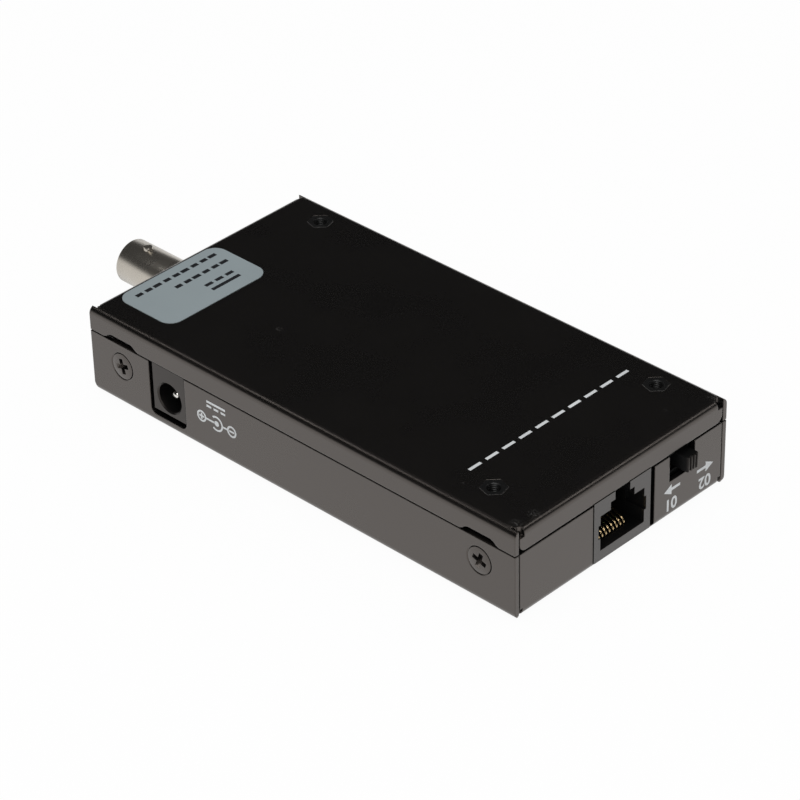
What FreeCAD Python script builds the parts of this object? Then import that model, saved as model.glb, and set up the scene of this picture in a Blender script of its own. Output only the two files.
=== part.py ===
import FreeCAD, Part
import math
import os
import types

import Sketcher

# Ethernet to bnc media converter: two folded steel sheets around a circuit board, with a network socket
# and a slide switch at the +X end, a bayonet coaxial socket at the -X end and a round power socket in the
# -Y side. It lies on its cover: z = 0 is the cover plate's outer face, and the base plate is on top.
# All lengths are in millimetres.

doc = FreeCAD.newDocument("MediaConverter")
Vector = FreeCAD.Vector
Rotation = FreeCAD.Rotation

SIZES = {
    # Folded case
    "caseLength": 113.55,
    "caseWidth": 59.55,
    "sheetThick": 1.0,
    "bendInner": 0.6,
    "innerHeight": 13.4,
    "coverDrop": 0.2,
    "seamGap": 0.3,
    "endSeamGap": 0.5,
    "cornerSlit": 0.3,
    "slitBack": 0.25,
    "reliefBack": 0.35,
    "reliefDeep": 1.9,
    "trayRelief": 0.85,
    "trayReliefIn": 0.8,
    "coverRelief": 0.45,
    "coverReliefIn": 0.6,
    "wallEndRoundNear": 0.8,
    "wallEndRoundFar": 2.0,
    "flangeEndRound": 1.6,
    # Joggled lugs behind the cover walls, and the screws through them
    "lugWidth": 6.4,
    "lugMouth": 8.9,
    "lugRise": 1.15,
    "lugNotchBlunt": 0.45,
    "lugShoulder": 0.7,
    "lugClear": 0.2,
    "lugReach": 4.0,
    "screwInset": 8.825,
    "screwBelowSeam": 4.85,
    "screwHead": 6.2,
    "screwHeadDeep": 1.1,
    "screwHeadClear": 0.05,
    "screwLength": 6.0,
    "threadCore": 2.5,
    "threadFit": 0.02,
    "threadWay": 0.35,
    "recessSpan": 3.0,
    "recessWidth": 0.75,
    "recessDeep": 0.8,
    # Circuit board on clinch standoffs
    "boardThick": 1.6,
    "boardSideGap": 3.0,
    "boardEndGap": 1.5,
    "standoffRise": 2.6,
    "standoffAcross": 4.6,
    "standoffInsetLeft": 10.97,
    "standoffInsetRight": 12.64,
    "standoffInsetFront": 8.24,
    "standoffInsetBack": 5.75,
    "boardHole": 3.2,
    "panHead": 5.5,
    "panHeadDeep": 1.7,
    "panLength": 3.0,
    # Network socket
    "netAside": 0.27,
    "netWidth": 16.0,
    "netDepth": 15.8,
    "netProud": 0.1,
    "netLift": 0.05,
    "netGapNear": 0.12,
    "netGapFar": 1.3,
    "plugWidth": 12.4,
    "plugDepth": 14.0,
    "plugFloor": 2.2,
    "plugHigh": 7.85,
    "latchWidth": 6.7,
    "latchHigh": 1.7,
    "latchDepth": 9.0,
    "keyWidth": 4.2,
    "keyDepth": 5.0,
    "netRound": 0.3,
    "netLipGap": 0.08,
    "sideGrooveHigh": 3.05,
    "sideGrooveDeep": 0.55,
    "sideGrooveUp": 2.75,
    "pegWidth": 2.8,
    "pegSpan": 11.4,
    "pegBack": 9.0,
    "pegLong": 2.4,
    "pegFit": 0.05,
    "contactPitch": 1.02,
    "contactWidth": 0.42,
    "contactThick": 0.3,
    "contactGroove": 0.62,
    "contactGrooveDeep": 0.75,
    "contactLie": 0.03,
    "contactSet": 3.2,
    "contactNose": 0.75,
    "contactTipBack": 10.3,
    "contactTipUp": 3.1,
    "contactTailIn": 0.45,
    "contactPin": 0.6,
    "contactHole": 0.7,
    # Power socket
    "powerInset": 22.3,
    "powerWidth": 9.0,
    "powerHigh": 10.7,
    "powerDepth": 14.0,
    "powerCollar": 3.3,
    "powerAxisDrop": 6.65,
    "powerBarrel": 8.0,
    "powerBore": 6.4,
    "powerBoreDeep": 9.5,
    "powerLip": 0.3,
    "powerPin": 2.0,
    "powerPinRecess": 1.2,
    "powerTabWide": 2.0,
    "powerTabThick": 0.4,
    "powerSpringLong": 7.0,
    "powerSpringWide": 2.4,
    "powerGapLeft": 1.1,
    "powerGapRight": 0.06,
    "powerGapUnder": 1.5,
    "powerNotchRound": 1.4,
    # Slide switch
    "slotOffset": 0.27,
    "slotWidth": 7.3,
    "slotHigh": 5.8,
    "switchInset": 12.58,
    "switchWidth": 8.6,
    "switchDepth": 5.4,
    "switchWall": 0.35,
    "switchSetBack": 0.6,
    "switchBase": 1.6,
    "switchTravel": 2.5,
    "sliderWidth": 5.0,
    "sliderClear": 0.06,
    "knobWidth": 3.3,
    "knobHigh": 3.35,
    "knobDrop": 3.47,
    "knobProud": 1.5,
    "knobRib": 0.4,
    # Coaxial socket
    "coaxDrop": 6.06,
    "coaxReach": 20.55,
    "barrelWidth": 9.6,
    "barrelWall": 0.75,
    "barrelBoreDeep": 8.4,
    "bayonetWidth": 2.0,
    "bayonetSpan": 11.0,
    "bayonetBack": 5.1,
    "bayonetSunk": 0.4,
    "insulatorWidth": 4.8,
    "insulatorRecess": 1.4,
    "coreWidth": 2.2,
    "coreBore": 1.4,
    "coreBoreDeep": 5.0,
    "coaxHoleClear": 0.15,
    "coaxFit": 0.02,
    "nutRing": 1.55,
    "nutThick": 2.4,
    "blockWidth": 14.0,
    "blockDepth": 13.0,
    "blockUnder": 6.2,
    "blockRound": 0.6,
    "stemLong": 7.5,
    "coreTail": 1.0,
    "coreTailWay": 2.4,
    # Label on the base
    "labelLong": 27.1,
    "labelWide": 15.8,
    "labelRound": 3.0,
    "labelThick": 0.12,
    "labelEndGap": 1.65,
    "labelSideGap": 5.75,
    # Indicator lamps in the cover plate
    "lampWidth": 3.0,
    "lampLong": 5.0,
    "lampRecess": 0.2,
    "lampHole": 3.3,
    "lampInset": 35.0,
    "lampPitch": 7.0,
    "lampHolder": 4.4,
    # Parts on the board
    "moduleLong": 12.8,
    "moduleWide": 10.0,
    "moduleHigh": 5.6,
    "moduleFromEnd": 27.5,
    "netChip": 8.0,
    "netChipFromEnd": 42.0,
    "netChipSide": 6.0,
    "lineChip": 10.0,
    "lineChipFromEnd": 50.0,
    "lineChipSide": 10.0,
    "chipHigh": 1.5,
    "chipLift": 0.15,
    "chipLead": 1.1,
    "chipLeadWide": 0.5,
    "chipLeadThick": 0.2,
    "chipLeadPitch": 1.0,
    "regulatorLong": 5.0,
    "regulatorWide": 4.0,
    "regulatorFromEnd": 33.0,
    "regulatorInset": 14.75,
    "coilWidth": 7.0,
    "coilHigh": 4.6,
    "coilBevel": 1.4,
    "coilFromEnd": 42.0,
    "coilInset": 11.75,
    "crystalLong": 11.0,
    "crystalWide": 4.6,
    "crystalHigh": 3.5,
    "crystalFromEnd": 38.0,
    "crystalInset": 14.75,
    "canWidth": 6.3,
    "canHigh": 7.0,
    "canFromEnd": 56.0,
    "canInset": 11.75,
    "canPitch": 8.5,
}


# Direction of a corner of each clinch standoff, in degrees from +X
STANDOFF_TURN = 45


class Size:
    """A length that keeps its number together with the sheet formula that gives it."""

    def __init__(self, number, formula):
        self.number = number
        self.formula = formula

    def joined(self, other, sign, swapped=False):
        if not isinstance(other, Size):
            other = Size(float(other), repr(float(other)))
        left, right = (other, self) if swapped else (self, other)
        if sign == "+":
            number = left.number + right.number
        elif sign == "-":
            number = left.number - right.number
        elif sign == "*":
            number = left.number * right.number
        else:
            number = left.number / right.number
        return Size(number, "(%s %s %s)" % (left.formula, sign, right.formula))

    def __add__(self, other):
        return self.joined(other, "+")

    def __radd__(self, other):
        return self.joined(other, "+", True)

    def __sub__(self, other):
        return self.joined(other, "-")

    def __rsub__(self, other):
        return self.joined(other, "-", True)

    def __mul__(self, other):
        return self.joined(other, "*")

    def __rmul__(self, other):
        return self.joined(other, "*", True)

    def __truediv__(self, other):
        return self.joined(other, "/")

    def __neg__(self):
        return 0 - self


sheet = doc.addObject("Spreadsheet::Sheet", "Sizes")
named = {}
for row, (name, number) in enumerate(SIZES.items(), 1):
    sheet.set("A%d" % row, name)
    sheet.set("B%d" % row, str(number))
    sheet.setAlias("B%d" % row, name)
    named[name] = Size(number, "Sizes." + name)
s = types.SimpleNamespace(**named)
doc.recompute()

pieces = []


def number_of(size):
    return size.number if isinstance(size, Size) else float(size)


def bind(thing, path, size):
    """Ties one property to its formula, or sets a plain number such as zero."""
    if isinstance(size, Size):
        thing.setExpression(path, size.formula)
    elif path.startswith("Placement.Base"):
        base = thing.Placement.Base
        setattr(base, path[-1], float(size))
        thing.Placement = FreeCAD.Placement(base, thing.Placement.Rotation)
    elif path.startswith("AttachmentOffset.Base"):
        base = thing.AttachmentOffset.Base
        setattr(base, path[-1], float(size))
        thing.AttachmentOffset = FreeCAD.Placement(base, thing.AttachmentOffset.Rotation)
    else:
        setattr(thing, path, float(size))


def keep(thing, label):
    thing.Label = label
    pieces.append(thing)
    return thing


def place(thing, x, y, z):
    bind(thing, "Placement.Base.x", x)
    bind(thing, "Placement.Base.y", y)
    bind(thing, "Placement.Base.z", z)
    return thing


def box(name, x, y, z):
    """A block between two faces on each axis."""
    solid = doc.addObject("Part::Box", name)
    bind(solid, "Length", x[1] - x[0])
    bind(solid, "Width", y[1] - y[0])
    bind(solid, "Height", z[1] - z[0])
    return place(solid, x[0], y[0], z[0])


TURNS = {
    "x": Rotation(Vector(0, 1, 0), 90),
    "y": Rotation(Vector(1, 0, 0), -90),
    "z": Rotation(),
}


def rod(name, axis, width, start, length):
    """A cylinder of a given width that starts at a point and runs along an axis."""
    solid = doc.addObject("Part::Cylinder", name)
    solid.Placement = FreeCAD.Placement(Vector(), TURNS[axis])
    bind(solid, "Radius", width / 2)
    bind(solid, "Height", length)
    return place(solid, start[0], start[1], start[2])


def cut(name, base, tool):
    result = doc.addObject("Part::Cut", name)
    result.Base = base
    result.Tool = tool
    return result


def fuse(name, shapes):
    result = doc.addObject("Part::MultiFuse", name)
    result.Shapes = shapes
    result.Refine = True
    return result


def new_body(name):
    return doc.addObject("PartDesign::Body", name)


def origin_of(body, role):
    return [item for item in body.Origin.OriginFeatures if item.Role == role][0]


def sketch_on(body, name, role, away=0.0, right=0.0, up=0.0):
    """A sketch on one of the body's own planes, moved off it and along it."""
    sketch = body.newObject("Sketcher::SketchObject", name)
    sketch.AttachmentSupport = [(origin_of(body, role), "")]
    sketch.MapMode = "FlatFace"
    bind(sketch, "AttachmentOffset.Base.x", right)
    bind(sketch, "AttachmentOffset.Base.y", up)
    bind(sketch, "AttachmentOffset.Base.z", away)
    return sketch


def fix(sketch, kind, geometry, point, size):
    """Holds one coordinate of a sketch point at a size measured from the sketch's origin."""
    if number_of(size) == 0 and not isinstance(size, Size):
        line = -2 if kind == "DistanceX" else -1
        sketch.addConstraint(Sketcher.Constraint("PointOnObject", geometry, point, line))
        return
    index = sketch.addConstraint(
        Sketcher.Constraint(kind, -1, 1, geometry, point, number_of(size))
    )
    if isinstance(size, Size):
        sketch.setExpression("Constraints[%d]" % index, size.formula)


def outline(sketch, points):
    """A closed run of straight lines through points given as pairs of sizes."""
    first = sketch.GeometryCount
    count = len(points)
    corners = [Vector(number_of(x), number_of(y), 0) for x, y in points]
    for i in range(count):
        sketch.addGeometry(Part.LineSegment(corners[i], corners[(i + 1) % count]))
    for i in range(count):
        following = first + (i + 1) % count
        sketch.addConstraint(Sketcher.Constraint("Coincident", first + i, 2, following, 1))
    for i in range(count):
        fix(sketch, "DistanceX", first + i, 1, points[i][0])
        fix(sketch, "DistanceY", first + i, 1, points[i][1])


def rectangle(sketch, x, y):
    outline(sketch, [(x[0], y[0]), (x[1], y[0]), (x[1], y[1]), (x[0], y[1])])


def circle(sketch, x, y, width):
    index = sketch.addGeometry(
        Part.Circle(Vector(number_of(x), number_of(y), 0), Vector(0, 0, 1), number_of(width) / 2)
    )
    fix(sketch, "DistanceX", index, 3, x)
    fix(sketch, "DistanceY", index, 3, y)
    held = sketch.addConstraint(Sketcher.Constraint("Diameter", index, number_of(width)))
    sketch.setExpression("Constraints[%d]" % held, width.formula)


def hexagon(sketch, x, y, across, first_corner):
    """A hexagon of a given width across its flats, with one corner at an angle in degrees."""
    corner = across * (0.5 / math.cos(math.pi / 6))
    angles = [math.radians(first_corner + 60 * i) for i in range(6)]
    outline(sketch, [(x + corner * math.cos(angle), y + corner * math.sin(angle)) for angle in angles])


def pad(body, name, sketch, length, back=False, both=False):
    feature = body.newObject("PartDesign::Pad", name)
    feature.Profile = sketch
    bind(feature, "Length", length)
    feature.Reversed = back
    if both:
        feature.SideType = "Symmetric"
    return feature


def pocket(body, name, sketch, length=None, back=False, both=False):
    """Cuts a sketch away, to a depth or right through."""
    feature = body.newObject("PartDesign::Pocket", name)
    feature.Profile = sketch
    if length is None:
        feature.Type = "ThroughAll"
    else:
        bind(feature, "Length", length)
    feature.Reversed = back
    if both:
        feature.SideType = "Symmetric"
    return feature


def turned(body, name, sketch, axis="V_Axis", kind="Revolution"):
    feature = body.newObject("PartDesign::" + kind, name)
    feature.Profile = sketch
    feature.ReferenceAxis = (sketch, [axis])
    feature.Angle = 360
    return feature


def mirrored(body, name, features, role):
    feature = body.newObject("PartDesign::Mirrored", name)
    feature.Originals = features
    feature.MirrorPlane = (origin_of(body, role), [""])
    body.Tip = feature
    return feature


def row_of(body, name, features, role, pitch, count):
    feature = body.newObject("PartDesign::LinearPattern", name)
    feature.Originals = features
    feature.Direction = (origin_of(body, role), [""])
    feature.Mode = "Spacing"
    bind(feature, "Offset", pitch)
    feature.Occurrences = count
    body.Tip = feature
    return feature


def edges_along(body, axis, **places):
    """Names of the straight edges that run along an axis through the places given for the other two."""
    doc.recompute()
    found = []
    for index, edge in enumerate(body.Shape.Edges, 1):
        if edge.Curve.TypeId != "Part::GeomLine":
            continue
        ends = [vertex.Point for vertex in edge.Vertexes]
        if len(ends) < 2:
            continue
        run = ends[1] - ends[0]
        if abs(abs(getattr(run, axis)) - run.Length) > 1e-4:
            continue
        middle = (ends[0] + ends[1]) * 0.5
        hits = [
            any(abs(getattr(middle, key) - number_of(value)) < 1e-3 for value in values)
            for key, values in places.items()
        ]
        if all(hits):
            found.append("Edge%d" % index)
    return found


def soften(body, name, edges, size, kind="Fillet"):
    before = body.Tip
    feature = body.newObject("PartDesign::" + kind, name)
    feature.Base = (before, edges)
    bind(feature, "Radius" if kind == "Fillet" else "Size", size)
    return feature


# Planes of the case that its pieces share
halfLength = s.caseLength / 2
halfWidth = s.caseWidth / 2
bendOuter = s.bendInner + s.sheetThick
plateInside = s.sheetThick
boardFace = s.sheetThick + s.innerHeight
boardBack = boardFace + s.boardThick
baseInside = boardBack + s.standoffRise
caseHeight = baseInside + s.sheetThick
seam = boardFace - s.coverDrop
flangeEdge = seam + s.seamGap
endFlangeEdge = seam + s.endSeamGap
wallInside = halfWidth - s.sheetThick
endInside = halfLength - s.sheetThick
screwX = halfLength - s.screwInset
screwZ = seam - s.screwBelowSeam
standoffX = [s.standoffInsetLeft - halfLength, halfLength - s.standoffInsetRight]
standoffY = [s.standoffInsetFront - halfWidth, halfWidth - s.standoffInsetBack]
lampX = s.lampInset - halfLength
netFront = halfLength + s.netProud
netCentre = -s.netAside
netBack = netFront - s.netDepth
netSides = [netCentre - s.netWidth / 2, netCentre + s.netWidth / 2]
netUnder = s.sheetThick + s.netLift
netFloor = netUnder + s.plugFloor
netRoof = netFloor + s.plugHigh
latchRoof = netRoof + s.latchHigh
powerX = s.powerInset - halfLength
powerSides = [powerX - s.powerWidth / 2, powerX + s.powerWidth / 2]
powerUnder = boardFace - s.powerHigh
powerZ = boardFace - s.powerAxisDrop
knobZ = boardFace - s.knobDrop
switchCentre = halfWidth - s.switchInset
slotCentre = switchCentre - s.slotOffset
coaxZ = boardFace - s.coaxDrop
coaxTip = -halfLength - s.coaxReach
barrelBore = s.barrelWidth - 2 * s.barrelWall
coaxHole = s.barrelWidth + 2 * s.coaxHoleClear


def folded_box(body, plate, inside, edge, end_edge, inward, relief_radius, relief_in):
    """A plate with two long walls bent from it, and two end walls that stand between them.

    plate and inside are the heights of the plate's outer and inner faces, edge and end_edge the heights
    where the long and the end walls stop, and inward is 1 where the walls rise from the plate.
    """
    section = sketch_on(body, body.Name + "_section", "YZ_Plane")
    outline(section, [
        (-halfWidth, plate),
        (halfWidth, plate),
        (halfWidth, edge),
        (wallInside, edge),
        (wallInside, inside),
        (-wallInside, inside),
        (-wallInside, edge),
        (-halfWidth, edge),
    ])
    pad(body, body.Name + "_channel", section, s.caseLength, both=True)
    outer = edges_along(body, "x", y=[-halfWidth, halfWidth], z=[plate])
    soften(body, body.Name + "_long_bends", outer, bendOuter)
    inner = edges_along(body, "x", y=[-wallInside, wallInside], z=[inside])
    soften(body, body.Name + "_long_bend_insides", inner, s.bendInner)

    # The plate stops short of each end, where the end wall's bend begins
    ends = sketch_on(body, body.Name + "_plate_ends", "XY_Plane", away=inside)
    plateEnd = halfLength - bendOuter - s.slitBack
    rectangle(ends, (plateEnd, halfLength + 1), (-wallInside, wallInside))
    first = pocket(body, body.Name + "_end_cut", ends, 4 * s.sheetThick, both=True)
    mirrored(body, body.Name + "_both_end_cuts", [first], "YZ_Plane")

    # The lower corner of each long wall is rounded off, more at the coaxial end
    if inward > 0:
        for way, radius in ((1, s.wallEndRoundNear), (-1, s.wallEndRoundFar)):
            side = "_near" if way > 0 else "_far"
            rounds = sketch_on(body, body.Name + side + "_wall_end", "XZ_Plane")
            outline(rounds, [
                (way * (halfLength - radius), plate - 1.0),
                (way * (halfLength + 1), plate - 1.0),
                (way * (halfLength + 1), plate + radius),
                (way * halfLength, plate + radius),
                (way * (halfLength - 0.293 * radius), plate + 0.293 * radius),
                (way * (halfLength - radius), plate),
            ])
            pocket(body, body.Name + side + "_wall_end_cut", rounds, both=True)

    profile = sketch_on(body, body.Name + "_end", "XZ_Plane")
    outline(profile, [
        (halfLength - bendOuter - 2, plate),
        (halfLength, plate),
        (halfLength, end_edge),
        (endInside, end_edge),
        (endInside, inside),
        (halfLength - bendOuter - 2, inside),
    ])
    wall = pad(body, body.Name + "_end_wall", profile, 2 * (wallInside - s.cornerSlit), both=True)
    mirrored(body, body.Name + "_end_walls", [wall], "YZ_Plane")
    outer = edges_along(body, "y", x=[-halfLength, halfLength], z=[plate])
    soften(body, body.Name + "_end_bends", outer, bendOuter)
    inner = edges_along(body, "y", x=[-endInside, endInside], z=[inside])
    soften(body, body.Name + "_end_bend_insides", inner, s.bendInner)

    # Relief through each corner, where the slit between two bends ends: round in the tray, square in the cover
    relief = sketch_on(body, body.Name + "_relief", "XY_Plane", away=plate)
    for x in (-1, 1):
        for y in (-1, 1):
            middle = (x * (halfLength - s.reliefBack), y * (wallInside - relief_in))
            if inward > 0:
                rectangle(
                    relief,
                    (middle[0] - relief_radius, middle[0] + relief_radius),
                    (middle[1] - relief_radius, middle[1] + relief_radius),
                )
            else:
                circle(relief, middle[0], middle[1], 2 * relief_radius)
    pocket(body, body.Name + "_relief_holes", relief, s.reliefDeep, back=inward > 0)


# Base tray: the plate with the label, four short flanges and four lugs that step in behind the cover
tray = new_body("Tray")
folded_box(
    tray, caseHeight, baseInside, flangeEdge, endFlangeEdge, -1, s.trayRelief, s.trayReliefIn
)
slitEdge = wallInside - s.cornerSlit
corners = edges_along(
    tray, "x", y=[-slitEdge, slitEdge], z=[endFlangeEdge]
)
soften(tray, "Tray_flange_corners", corners, s.flangeEndRound)

# The flange's edge rises over each lug in a short notch with blunted corners
notch = sketch_on(tray, "Tray_lug_notch", "XZ_Plane")
mouth = s.lugMouth / 2
neck = s.lugWidth / 2
lugTop = flangeEdge + s.lugRise
slant = s.lugNotchBlunt * math.sqrt(0.5)
rightSide = [
    (mouth + s.lugNotchBlunt, flangeEdge - 0.1),
    (mouth + s.lugNotchBlunt, flangeEdge),
    (mouth - slant, flangeEdge + slant),
    (neck + slant, lugTop - slant),
    (neck - s.lugNotchBlunt, lugTop),
]
leftSide = [(-x, z) for x, z in reversed(rightSide)]
outline(notch, [(screwX + x, z) for x, z in rightSide + leftSide])
notchCut = pocket(tray, "Tray_lug_notch_cut", notch, both=True)
mirrored(tray, "Tray_lug_notches", [notchCut], "YZ_Plane")

stepIn = s.sheetThick + s.lugClear
lug = sketch_on(tray, "Tray_lug", "YZ_Plane", away=screwX - s.lugWidth / 2)
lugBend = flangeEdge - 0.2
outline(lug, [
    (halfWidth, lugTop + s.lugShoulder),
    (halfWidth, lugTop),
    (halfWidth - stepIn, lugBend),
    (halfWidth - stepIn, screwZ - s.lugReach),
    (wallInside - stepIn, screwZ - s.lugReach),
    (wallInside - stepIn, lugBend + 0.4),
    (wallInside, lugTop + 0.4),
    (wallInside, lugTop + s.lugShoulder),
])
lugPad = pad(tray, "Tray_lug_pad", lug, s.lugWidth)
lugPair = mirrored(tray, "Tray_lug_pair", [lugPad], "YZ_Plane")
lugFar = sketch_on(tray, "Tray_lug_far", "YZ_Plane", away=screwX - s.lugWidth / 2)
outline(lugFar, [
    (-halfWidth, lugTop + s.lugShoulder),
    (-halfWidth, lugTop),
    (stepIn - halfWidth, lugBend),
    (stepIn - halfWidth, screwZ - s.lugReach),
    (stepIn - wallInside, screwZ - s.lugReach),
    (stepIn - wallInside, lugBend + 0.4),
    (-wallInside, lugTop + 0.4),
    (-wallInside, lugTop + s.lugShoulder),
])
lugFarPad = pad(tray, "Tray_lug_far_pad", lugFar, s.lugWidth)
mirrored(tray, "Tray_lug_far_pair", [lugFarPad], "YZ_Plane")
tapped = sketch_on(tray, "Tray_lug_holes", "XZ_Plane")
circle(tapped, screwX, screwZ, s.threadCore + 2 * s.threadFit)
circle(tapped, -screwX, screwZ, s.threadCore + 2 * s.threadFit)
pocket(tray, "Tray_lug_threads", tapped, both=True)
seats = sketch_on(tray, "Tray_standoff_seats", "XY_Plane", away=baseInside)
for x in standoffX:
    for y in standoffY:
        hexagon(seats, x, y, s.standoffAcross, STANDOFF_TURN)
pocket(tray, "Tray_standoff_holes", seats, both=True)
keep(tray, "base_tray")

# Cover: the plate underneath with four walls, cut for the sockets, the switch, the screws and the lamps
cover = new_body("Cover")
folded_box(cover, 0.0, plateInside, seam, seam, 1, s.coverRelief, s.coverReliefIn)

# Network socket notch, from the plate's inner face up to the seam
netNotch = sketch_on(cover, "Cover_net_notch", "YZ_Plane", away=halfLength + 1)
rectangle(
    netNotch,
    (netSides[0] - s.netGapNear, netSides[1] + s.netGapFar),
    (plateInside, seam + 1),
)
pocket(cover, "Cover_net_cut", netNotch, bendOuter + 2)

# Slide switch slot, open to the seam
slot = sketch_on(cover, "Cover_slot", "YZ_Plane", away=halfLength + 1)
rectangle(
    slot,
    (slotCentre - s.slotWidth / 2, slotCentre + s.slotWidth / 2),
    (seam - s.slotHigh, seam + 1),
)
pocket(cover, "Cover_slot_cut", slot, s.sheetThick + 2)

# Coaxial socket hole in the far end wall
coaxWay = sketch_on(cover, "Cover_coax_hole", "YZ_Plane", away=-halfLength - 1)
circle(coaxWay, 0.0, coaxZ, coaxHole)
pocket(cover, "Cover_coax_cut", coaxWay, s.sheetThick + 2, back=True)

# Power socket notch in the long wall, with rounded lower corners
powerNotch = sketch_on(cover, "Cover_power_notch", "XZ_Plane", away=halfWidth + 1)
notchLeft = powerSides[0] - s.powerGapLeft
notchRight = powerSides[1] + s.powerGapRight
notchFloor = powerUnder - s.powerGapUnder
rectangle(powerNotch, (notchLeft, notchRight), (notchFloor, seam + 1))
pocket(cover, "Cover_power_cut", powerNotch, s.sheetThick + 2)
notchEdges = edges_along(cover, "y", x=[notchLeft, notchRight], z=[notchFloor])
soften(cover, "Cover_power_corners", notchEdges, s.powerNotchRound)

# Countersunk holes: one hourglass turned about each pair of opposite screws
sink = sketch_on(cover, "Cover_sink", "XY_Plane", away=screwZ, right=screwX)
throat = s.threadCore / 2 + s.threadWay
sinkWide = s.screwHead / 2 + s.screwHeadClear
sinkDeep = s.screwHeadDeep + s.screwHeadClear
outline(sink, [
    (0.0, -halfWidth - 1),
    (sinkWide, -halfWidth - 1),
    (sinkWide, -halfWidth),
    (throat, sinkDeep - halfWidth),
    (throat, halfWidth - sinkDeep),
    (sinkWide, halfWidth),
    (sinkWide, halfWidth + 1),
    (0.0, halfWidth + 1),
])
sinkCut = turned(cover, "Cover_sink_cut", sink, "V_Axis", "Groove")
mirrored(cover, "Cover_sinks", [sinkCut], "YZ_Plane")

lampHoles = sketch_on(cover, "Cover_lamp_holes", "XY_Plane", away=s.sheetThick / 2)
for place_in_row in (-1, 0, 1):
    circle(lampHoles, lampX, place_in_row * s.lampPitch, s.lampHole)
pocket(cover, "Cover_lamp_cut", lampHoles, both=True)
keep(cover, "top_cover")


def cross_recess(body, name, top):
    """A cross-shaped driver recess, cut down from the head's top."""
    recess = sketch_on(body, name, "XY_Plane", away=top)
    span = s.recessSpan / 2
    arm = s.recessWidth / 2
    outline(recess, [
        (-span, -arm), (-arm, -arm), (-arm, -span), (arm, -span), (arm, -arm), (span, -arm),
        (span, arm), (arm, arm), (arm, span), (-arm, span), (-arm, arm), (-span, arm),
    ])
    pocket(body, name + "_cut", recess, s.recessDeep)


# Case screws: flat heads sunk level with the walls, each turned to where its driver left it
count = 0
for side, turn in ((-1, 90), (1, -90)):
    for end, stop_angle in ((-1, 15), (1, 72)):
        count += 1
        screw = new_body("CaseScrew%d" % count)
        profile = sketch_on(screw, "CaseScrew%d_profile" % count, "XZ_Plane")
        core = s.threadCore / 2
        outline(profile, [
            (0.0, 0.0),
            (s.screwHead / 2, 0.0),
            (core, -s.screwHeadDeep),
            (core, -s.screwLength),
            (0.0, -s.screwLength),
        ])
        turned(screw, "CaseScrew%d_turned" % count, profile)
        cross_recess(screw, "CaseScrew%d_recess" % count, 0.0)
        stance = Rotation(Vector(1, 0, 0), turn).multiply(Rotation(Vector(0, 0, 1), stop_angle))
        screw.Placement = FreeCAD.Placement(Vector(), stance)
        place(screw, end * screwX, side * halfWidth, screwZ)
        keep(screw, "case_screw_%d" % count)

# Hexagon clinch standoffs, pressed level with the base plate, and the board's pan-head screws
count = 0
for x in standoffX:
    for y in standoffY:
        count += 1
        standoff = new_body("Standoff%d" % count)
        profile = sketch_on(standoff, "Standoff%d_profile" % count, "XY_Plane")
        hexagon(profile, 0.0, 0.0, s.standoffAcross, STANDOFF_TURN)
        circle(profile, 0.0, 0.0, s.threadCore + 2 * s.threadFit)
        pad(standoff, "Standoff%d_pad" % count, profile, s.standoffRise + s.sheetThick)
        place(standoff, x, y, boardBack)
        keep(standoff, "standoff_%d" % count)

        screw = new_body("BoardScrew%d" % count)
        profile = sketch_on(screw, "BoardScrew%d_profile" % count, "XZ_Plane")
        core = s.threadCore / 2
        outline(profile, [
            (0.0, -s.panLength),
            (core, -s.panLength),
            (core, 0.0),
            (s.panHead / 2, 0.0),
            (s.panHead / 2, s.panHeadDeep),
            (0.0, s.panHeadDeep),
        ])
        turned(screw, "BoardScrew%d_turned" % count, profile)
        screw.Placement = FreeCAD.Placement(Vector(), Rotation(Vector(1, 0, 0), 180))
        place(screw, x, y, boardFace)
        keep(screw, "board_screw_%d" % count)

# Circuit board, its parts hanging on the face toward the cover
board = new_body("Board")
face = sketch_on(board, "Board_outline", "XY_Plane", away=boardFace)
boardEnd = halfLength - s.boardEndGap
boardSide = halfWidth - s.boardSideGap
rectangle(face, (-boardEnd, boardEnd), (-boardSide, boardSide))
pad(board, "Board_plate", face, s.boardThick)
holes = sketch_on(board, "Board_holes", "XY_Plane", away=boardFace)
for x in standoffX:
    for y in standoffY:
        circle(holes, x, y, s.boardHole)
pegX = netFront - s.pegBack
for side in (-1, 1):
    pegY = netCentre + side * s.pegSpan / 2
    pegWay = s.pegWidth / 2 + s.pegFit
    rectangle(holes, (pegX - pegWay, pegX + pegWay), (pegY - pegWay, pegY + pegWay))
tailX = netBack + s.contactTailIn
tailMiddle = tailX + s.contactThick / 2
for i in range(8):
    across = netCentre + (i - 3.5) * s.contactPitch
    rectangle(
        holes,
        (tailMiddle - s.contactHole / 2, tailMiddle + s.contactHole / 2),
        (across - s.contactHole / 2, across + s.contactHole / 2),
    )
pocket(board, "Board_hole_cut", holes, both=True)
keep(board, "circuit_board")

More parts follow.
